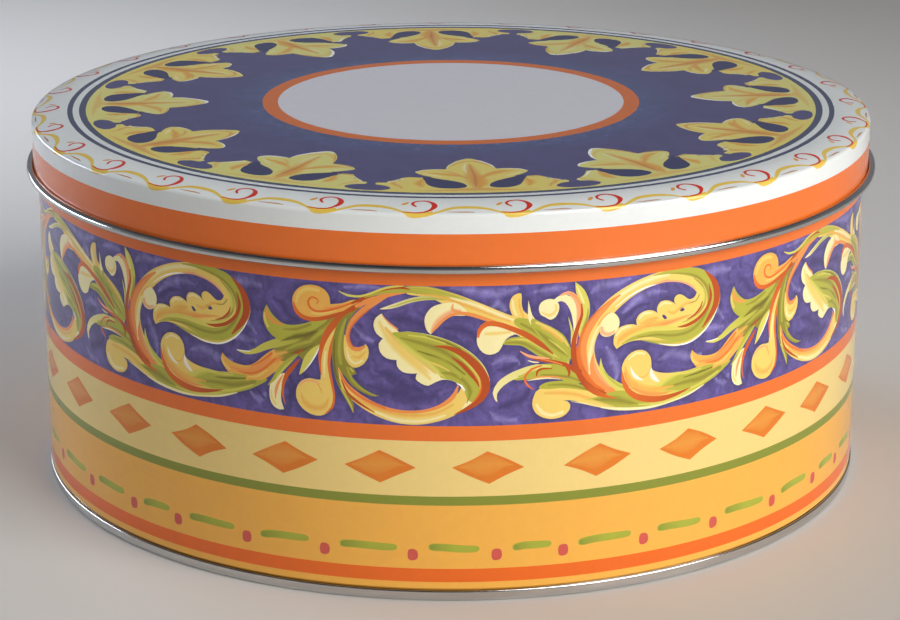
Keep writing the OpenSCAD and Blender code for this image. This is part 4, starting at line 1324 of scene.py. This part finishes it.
def lid_section():
    """Section of the lid's sheet from its skirt's white, round the curl and up inside, to the panel."""
    lid = lid_places()
    sheet, curl = lid["sheet"], lid["curl"]
    steep = 90 - math.degrees(SLOPE)
    return ([(lid["skirt"], SKIRT_WHITE_Z)] + arc(lid["curl_r"], lid["curl_z"], curl - sheet, 180, 480, 20)
            + arc(lid["curl_r"], lid["curl_z"], curl, 480, 180, 28)
            + arc(lid["edge_r"], lid["edge_z"], lid["bend"] - sheet, 0, steep, 6)
            + arc(lid["panel_r"], lid["shoulder_z"], lid["shoulder"] - sheet, steep, 90, 6)[1:]
            + [(DISC_R, lid["top"] - sheet), (0, lid["top"] - sheet)])


def lid_normals(mesh, normals):
    """Normals of the lid's print straight from its true panel, shoulder, bend and skirt."""
    lid = lid_places()
    spots = corner_spots(mesh)
    r = np.hypot(spots[:, 0], spots[:, 1])
    z = spots[:, 2]
    flat = np.stack([spots[:, 0], spots[:, 1]], axis=1) / np.maximum(r, LEAST_R)[:, None]
    tilt, off = lid_tilt(r, z)
    out = np.concatenate([flat * np.sin(tilt)[:, None], np.cos(tilt)[:, None]], axis=1)
    even = (abs(off) < NEAR) & (z > lid["curl_z"] + CURL_CLEAR) & ((normals * out).sum(axis=1) > FACING)
    normals[even] = out[even]
    return normals


def press_flat(piece, height):
    """Presses all that stands above a height down to it."""
    edit(piece)
    shape = bmesh.from_edit_mesh(piece.data)
    for vert in shape.verts:
        vert.select_set(vert.co.z > (height + NEAR) * MM)
    bmesh.update_edit_mesh(piece.data)
    bpy.ops.transform.resize(value=(1, 1, 0), center_override=(0, 0, height * MM))
    deselect()


def lid_map(piece, bare):
    """Lays out the lid's print as a disc, with the edge and the skirt unrolled round it."""
    lid = lid_places()
    spots = corner_spots(piece.data)
    r = np.hypot(spots[:, 0], spots[:, 1])
    tilt = lid_tilt(r, spots[:, 2])[0]
    down = np.maximum(lid["edge_z"] - spots[:, 2], 0)
    way = np.minimum(r, lid["panel_r"]) + np.minimum(tilt, SLOPE) * lid["shoulder"]
    way += np.maximum(tilt - SLOPE, 0) * lid["bend"] + down
    full = lid["panel_r"] + lid["shoulder_way"] + lid["bend_way"] + lid["edge_z"] - lid["curl_z"]
    disc = DISC_MIDDLE + DISC_REACH * spots[:, :2] * (way / full / np.maximum(r, LEAST_R))[:, None]
    lay_map(piece, bare, disc, *LID_STRIP)


class TIN_OT_lid(bpy.types.Operator):
    """Builds the drawn lid with its printed top and edge, skirt and rolled curl"""

    bl_idname = "tin.lid"
    bl_label = "Build lid"

    def execute(self, context):
        lid = lid_places()
        top, skirt = lid["top"], lid["skirt"]
        section = lid_section()

        # The panel's rings stand in steps until they are bridged, since rings in one plane bridge askew
        lines_z, leaves_z, disc_z = (top + PANEL_STEP * step for step in (1, 2, 3))

        def flat(radii):
            return radii, np.full(len(radii), leaves_z)

        leaf_scale = math.radians(1) * (LEAF_LOW_R + LEAF_TOP_R) / 2
        step = 360 / PALMETTES
        leaves = Repeat(leaf_marks(leaf_scale, step), "navy", -step / 2 * leaf_scale, 2 * step * leaf_scale,
                        LEAF_LOW_R, LEAF_TOP_R, PALMETTE_COLUMNS)
        leaf_spans = [(PALMETTE_TURN + step * (2 * pair + 0.5), 2 * step) for pair in range(PALMETTES // 2)]
        width = 2 * math.pi * layers()["wall"] / SCROLLS
        soft_way, bend_way = lid["shoulder_way"], lid["bend_way"]
        levels = [soft_way * part / SHOULDER_PARTS for part in range(1, SHOULDER_PARTS)]
        levels += [soft_way + bend_way * part / BEND_PARTS for part in range(BEND_PARTS + 1)]
        scroll = Repeat(EDGE_SCROLL, "snow", -width / 2, width, SCROLL_IN, SCROLL_OUT,
                        SCROLL_COLUMNS, levels)
        scroll_spans = [(SCROLL_TURN + 360 / SCROLLS * place, 360 / SCROLLS) for place in range(SCROLLS)]
        piece = joined(turned("lid_tinplate", section),
                       turned("disc", [(DISC_RING_R, disc_z), (DISC_R, disc_z), (0, disc_z)]),
                       turned("lines", [(r, lines_z) for r in LINE_RADII]),
                       printed("palmettes", leaves, leaf_spans, flat),
                       printed("edge_scroll", scroll, scroll_spans, over_edge))
        in_r, in_z = over_edge(np.array([SCROLL_IN]))
        out_r, out_z = over_edge(np.array([SCROLL_OUT]))
        bridge(piece, (DISC_RING_R, disc_z), (LEAF_LOW_R, leaves_z))
        bridge(piece, (LEAF_TOP_R, leaves_z), (LINE_RADII[0], lines_z))
        bridge(piece, (LINE_RADII[-1], lines_z), (in_r[0], in_z[0]))
        bridge(piece, (out_r[0], out_z[0]), (skirt, SKIRT_WHITE_Z))
        press_flat(piece, top)
        close_shell(piece)
        mesh = piece.data
        r, z, outwards, upwards = face_places(mesh)
        panel = (upwards > FACING) & (z > top - NEAR)
        sides = (abs(r - skirt) < NEAR * 3) & (outwards > FACING) & (z > lid["curl_z"])
        outside = (abs(lid_tilt(r, z)[1]) < NEAR * 3) & (z > lid["curl_z"])
        outside &= outwards + upwards > LID_OUTWARDS
        ink_plain(mesh, [
            ("lilac", panel & (r < DISC_R)),
            ("terracotta", panel & (r > DISC_R) & (r < DISC_RING_R)),
            ("navy", panel & (r > DISC_RING_R) & (r < LEAF_LOW_R)),
            ("slate", panel & (r > LEAF_TOP_R) & (r < LINE_RADII[0])),
            ("snow", panel & (r > LINE_RADII[0]) & (r < LINE_RADII[1])),
            ("slate", panel & (r > LINE_RADII[1]) & (r < LINE_RADII[2])),
            ("snow", panel & (r > LINE_RADII[2]) & (r < in_r[0])),
            ("snow", sides & (z > SKIRT_WHITE_Z) & (z < out_z[0])),
            ("tangerine", sides & (z < SKIRT_WHITE_Z)),
        ])
        ink_ring(mesh, "steel", panel & (r > DISC_RING_R) & (r < LEAF_LOW_R), DISC_RING_R)
        lid_map(piece, ~outside)
        finish(piece, "lid", "lid", [printed_tinplate(), bare_tinplate()], ~outside,
               lid_normals)
        return {"FINISHED"}


class TIN_OT_base(bpy.types.Operator):
    """Builds the pressed base with its folded ring"""

    bl_idname = "tin.base"
    bl_label = "Build base"

    def execute(self, context):
        size, ring = sizes(), layers()
        sheet, bend = size.mm("sheet"), size.mm("base_bend")
        panel, riser, hook, outer = size.mm("panel_top"), ring["riser"], ring["base_hook"], ring["ring"]
        fold = (outer - hook + sheet) / 2
        fold_r, fold_z = (outer + hook - sheet) / 2, size.mm("ring_height") - fold
        hook_foot = 2 * (sheet + size.mm("layer_gap"))
        panel_r, land_r, outer_r = riser - bend, riser - sheet + bend, outer - bend
        middle_r = panel_r / 2
        section = ([(middle_r, panel)] + arc(panel_r, panel - bend, bend, 90, 0, 8)
                   + arc(land_r, bend, bend - sheet, 180, 270, 6)
                   + arc(outer_r, bend, bend - sheet, 270, 360, 6)
                   + arc(fold_r, fold_z, fold - sheet, 0, 180, 8)
                   + [(hook, hook_foot), (hook - sheet, hook_foot)]
                   + arc(fold_r, fold_z, fold, 180, 0, 16) + arc(outer_r, bend, bend, 360, 270, 10)
                   + arc(land_r, bend, bend, 270, 180, 8)
                   + arc(panel_r, panel - bend, bend - sheet, 0, 90, 6)
                   + [(middle_r, panel - sheet), (0, panel - sheet)])
        piece = joined(turned("base_tinplate", section), turned("panel", [(middle_r, panel), (0, panel)]))
        close_shell(piece)
        faces = np.ones(len(piece.data.polygons), bool)
        finish(piece, "tin", "base", [bare_tinplate()], faces, None)
        return {"FINISHED"}


def add_node(tree, kind, settings=None, links=None):
    """Adds a node, sets its values and sockets, and links other nodes' outputs into it."""
    node = tree.nodes.new(kind)
    for name, value in (settings or {}).items():
        if name in node.inputs:
            node.inputs[name].default_value = value
        else:
            setattr(node, name, value)
    for name, source in (links or {}).items():
        tree.links.new(source, node.inputs[name])
    return node


def new_material(name):
    """An empty node material, or the one that is there, and whether it is new."""
    found = bpy.data.materials.get(name)
    if found:
        return found, False
    material = bpy.data.materials.new(name)
    material.use_nodes = True
    material.node_tree.nodes.clear()
    return material, True


def printed_tinplate():
    """Offset print under clear varnish on tinplate: glossy, with brush dabs in its blue grounds."""
    material, fresh = new_material("varnished_print_on_tinplate")
    if not fresh:
        return material
    tree = material.node_tree
    place = add_node(tree, "ShaderNodeTexCoord").outputs["Object"]
    ink = add_node(tree, "ShaderNodeVertexColor", {"layer_name": "ink"}).outputs["Color"]
    # Brush dabs of about 4 mm, strong in violet and navy and faint in the other inks
    dab = add_node(tree, "ShaderNodeTexNoise",
                   {"Scale": 1 / (4 * MM), "Detail": 5.0, "Roughness": 0.62, "Distortion": 1.2},
                   {"Vector": place}).outputs["Fac"]
    parts = add_node(tree, "ShaderNodeSeparateColor", None, {"Color": ink}).outputs
    blueness = add_node(tree, "ShaderNodeMath", {"operation": "SUBTRACT"})
    tree.links.new(parts["Blue"], blueness.inputs[0])
    tree.links.new(parts["Red"], blueness.inputs[1])
    sway = add_node(tree, "ShaderNodeMapRange",
                    {"From Min": 0.06, "From Max": 0.14, "To Min": 0.02, "To Max": 0.4},
                    {"Value": blueness.outputs["Value"]}).outputs["Result"]
    spread = add_node(tree, "ShaderNodeMapRange",
                      {"From Min": 0.3, "From Max": 0.7, "To Min": -1.0, "To Max": 1.0},
                      {"Value": dab}).outputs["Result"]
    tone = add_node(tree, "ShaderNodeMath", {"operation": "MULTIPLY_ADD"})
    tree.links.new(spread, tone.inputs[0])
    tree.links.new(sway, tone.inputs[1])
    tone.inputs[2].default_value = 1.0
    colour = add_node(tree, "ShaderNodeMix", {"data_type": "RGBA", "blend_type": "MULTIPLY", "Factor": 1.0})
    tree.links.new(ink, colour.inputs[6])
    tree.links.new(tone.outputs["Value"], colour.inputs[7])
    # Slight unevenness of the varnish's gloss, about 3 mm across
    wave = add_node(tree, "ShaderNodeTexNoise", {"Scale": 1 / (3 * MM), "Detail": 2.0},
                    {"Vector": place}).outputs["Fac"]
    gloss = add_node(tree, "ShaderNodeMapRange", {"To Min": 0.11, "To Max": 0.16},
                     {"Value": wave}).outputs["Result"]
    shader = add_node(tree, "ShaderNodeBsdfPrincipled", {"IOR": 1.5},
                      {"Base Color": colour.outputs[2], "Roughness": gloss})
    add_node(tree, "ShaderNodeOutputMaterial", None, {"Surface": shader.outputs["BSDF"]})
    return material


def bare_tinplate():
    """Bare tinplate, rolled and drawn: soft grey metal with faint streaks round the tin."""
    material, fresh = new_material("bare_rolled_tinplate")
    if not fresh:
        return material
    tree = material.node_tree
    place = add_node(tree, "ShaderNodeTexCoord").outputs["Object"]
    # Streaks of the rolls, about 1.5 mm high and long round the tin, drawn coarser than the real ones
    stretch = add_node(tree, "ShaderNodeMapping", {"Scale": (60.0, 60.0, 650.0)},
                       {"Vector": place}).outputs["Vector"]
    streak = add_node(tree, "ShaderNodeTexNoise", {"Scale": 1.0, "Detail": 3.0},
                      {"Vector": stretch}).outputs["Fac"]
    shade = add_node(tree, "ShaderNodeValToRGB", None, {"Fac": streak})
    shade.color_ramp.elements[0].color = (*linear("B2B2B0"), 1)
    shade.color_ramp.elements[1].color = (*linear("DEDEDC"), 1)
    rough = add_node(tree, "ShaderNodeMapRange", {"To Min": 0.09, "To Max": 0.17},
                     {"Value": streak}).outputs["Result"]
    shader = add_node(tree, "ShaderNodeBsdfPrincipled", {"Metallic": 1.0},
                      {"Base Color": shade.outputs["Color"], "Roughness": rough})
    add_node(tree, "ShaderNodeOutputMaterial", None, {"Surface": shader.outputs["BSDF"]})
    return material


def paper_sweep():
    """Matt photo paper: pale warm grey, faintly cloudy."""
    material, fresh = new_material("matt_paper_sweep")
    if not fresh:
        return material
    tree = material.node_tree
    place = add_node(tree, "ShaderNodeTexCoord").outputs["Object"]
    # Cloudiness about 40 cm across, as on a used paper roll
    cloud = add_node(tree, "ShaderNodeTexNoise", {"Scale": 1 / 0.4, "Detail": 2.0},
                     {"Vector": place}).outputs["Fac"]
    shade = add_node(tree, "ShaderNodeValToRGB", None, {"Fac": cloud})
    shade.color_ramp.elements[0].color = (*linear("C4BFB9"), 1)
    shade.color_ramp.elements[1].color = (*linear("CCC7C1"), 1)
    shader = add_node(tree, "ShaderNodeBsdfPrincipled", {"Roughness": 0.6, "IOR": 1.4},
                      {"Base Color": shade.outputs["Color"]})
    add_node(tree, "ShaderNodeOutputMaterial", None, {"Surface": shader.outputs["BSDF"]})
    return material


# Camera that the photograph was taken with: place, tilt and lens for a 900 by 620 image
PHOTO_WIDTH = 900
CAMERA_PLACE = (0.0, -0.75628, 0.28311)
CAMERA_TILT = math.radians(90 - 17.632)
FOCAL_PIXELS = 2542.2
MIDDLE_PIXELS = 0.8
SENSOR = 36.0

# Width of the square floor in metres
FLOOR_WIDTH = 8

# Soft boxes: name, place, aim, width, height, spread in degrees, power in watts, colour, and what they do;
# most only light or only gleam, so that the varnished lid isn't one white glare from the other side
LAMPS = (
    ("key_box", (1.08, -1.04, 0.8), (0, 0, 0.06), 1.2, 1.2, 180, 36.0, "FBFBFA", "light"),
    ("key_gleam", (0.92, -0.57, 1.25), (0, 0, 0.06), 1.2, 1.2, 180, 36.0, "FBFBFA", "gleam"),
    ("fill_box", (-0.6, -1.6, 0.8), (0, 0, 0.06), 1.2, 1.2, 180, 1.6, "FFFDF8", "light"),
    ("fill_gleam", (-0.6, -1.6, 0.8), (0, 0, 0.06), 1.2, 1.2, 180, 1.5, "FFFDF8", "gleam"),
    ("side_box", (-1.0, 0.6, 0.9), (0, 0, 0.06), 1.1, 0.2, 65, 1.0, "E6F0FF", "light"),
    ("side_gleam", (-1.0, 0.6, 0.2), (0, 0, 0.06), 1.1, 0.12, 65, 1.08, "E6F0FF", "both"),
    ("floor_box", (-0.55, 0.75, 1.0), (-0.35, 0.5, 0.0), 0.3, 0.3, 70, 0.9, "E4EEFF", "light"),
    ("corner_box", (0.1, 0.3, 1.0), (-0.35, 0.55, 0.0), 0.3, 0.3, 55, 0.4, "DCE9FF", "light"),
)


def studio_room():
    """A dim room: pale walls round the tin, and a dark ceiling."""
    world = bpy.data.worlds.new("studio_room")
    world.use_nodes = True
    tree = world.node_tree
    tree.nodes.clear()
    way = add_node(tree, "ShaderNodeTexCoord").outputs["Generated"]
    height = add_node(tree, "ShaderNodeSeparateXYZ", None, {"Vector": way}).outputs["Z"]
    shade = add_node(tree, "ShaderNodeValToRGB", None, {"Fac": height})
    shade.color_ramp.elements[0].position = 0.3
    shade.color_ramp.elements[0].color = (*linear("7A7B80"), 1)
    shade.color_ramp.elements[1].position = 0.7
    shade.color_ramp.elements[1].color = (*linear("38383A"), 1)
    room = add_node(tree, "ShaderNodeBackground", None, {"Color": shade.outputs["Color"]})
    add_node(tree, "ShaderNodeOutputWorld", None, {"Surface": room.outputs["Background"]})
    return world


class TIN_OT_stage(bpy.types.Operator):
    """Builds the pale floor, the soft boxes, the world and the camera"""

    bl_idname = "tin.stage"
    bl_label = "Build stage"

    def execute(self, context):
        scene = context.scene
        deselect()
        bpy.ops.mesh.primitive_plane_add(size=FLOOR_WIDTH)
        floor = context.object
        floor.name = floor.data.name = "floor"
        floor.data.materials.append(paper_sweep())
        for name, place, aim, wide, high, spread, power, shade, work in LAMPS:
            deselect()
            bpy.ops.object.light_add(type="AREA", location=place)
            lamp = context.object
            lamp.name = name
            lamp.visible_diffuse = work != "gleam"
            lamp.visible_glossy = work != "light"
            lamp.data.shape = "RECTANGLE"
            lamp.data.size = wide
            lamp.data.size_y = high
            lamp.data.spread = math.radians(spread)
            lamp.data.energy = power
            lamp.data.color = linear(shade)
            away = [to - at for at, to in zip(place, aim)]
            flat = math.hypot(away[0], away[1])
            lamp.rotation_euler = (math.atan2(flat, -away[2]), 0, math.atan2(-away[0], away[1]))
        scene.world = studio_room()
        deselect()
        bpy.ops.object.camera_add(location=CAMERA_PLACE, rotation=(CAMERA_TILT, 0, 0))
        camera = context.object
        camera.name = "photo_camera"
        camera.data.sensor_width = SENSOR
        camera.data.lens = SENSOR * FOCAL_PIXELS / PHOTO_WIDTH
        camera.data.shift_x = -MIDDLE_PIXELS / PHOTO_WIDTH
        scene.camera = camera
        scene.view_settings.view_transform = "Standard"
        return {"FINISHED"}


class TIN_PT_build(bpy.types.Panel):
    """Lists the tin's sizes and the steps that build it"""

    bl_idname = "TIN_PT_build"
    bl_label = "Storage tin"
    bl_space_type = "VIEW_3D"
    bl_region_type = "UI"
    bl_category = "Tin"

    def draw(self, context):
        column = self.layout.column()
        for name in TinSizes.__annotations__:
            column.prop(context.scene.tin_sizes, name)
        for step in STEPS_IN_ORDER:
            column.operator(step.bl_idname)


STEPS_IN_ORDER = (TIN_OT_base, TIN_OT_wall, TIN_OT_lid, TIN_OT_stage)
CLASSES = (TinSizes, *STEPS_IN_ORDER, TIN_PT_build)


def register():
    """Adds the classes and the scene's sizes."""
    for kind in CLASSES:
        bpy.utils.register_class(kind)
    bpy.types.Scene.tin_sizes = bpy.props.PointerProperty(type=TinSizes)


def unregister():
    """Takes the classes and the scene's sizes away."""
    del bpy.types.Scene.tin_sizes
    for kind in reversed(CLASSES):
        bpy.utils.unregister_class(kind)


def main():
    """Builds the tin and its stage."""
    register()
    bpy.ops.tin.base()
    bpy.ops.tin.wall()
    bpy.ops.tin.lid()
    bpy.ops.tin.stage()


if __name__ == "__main__":
    main()
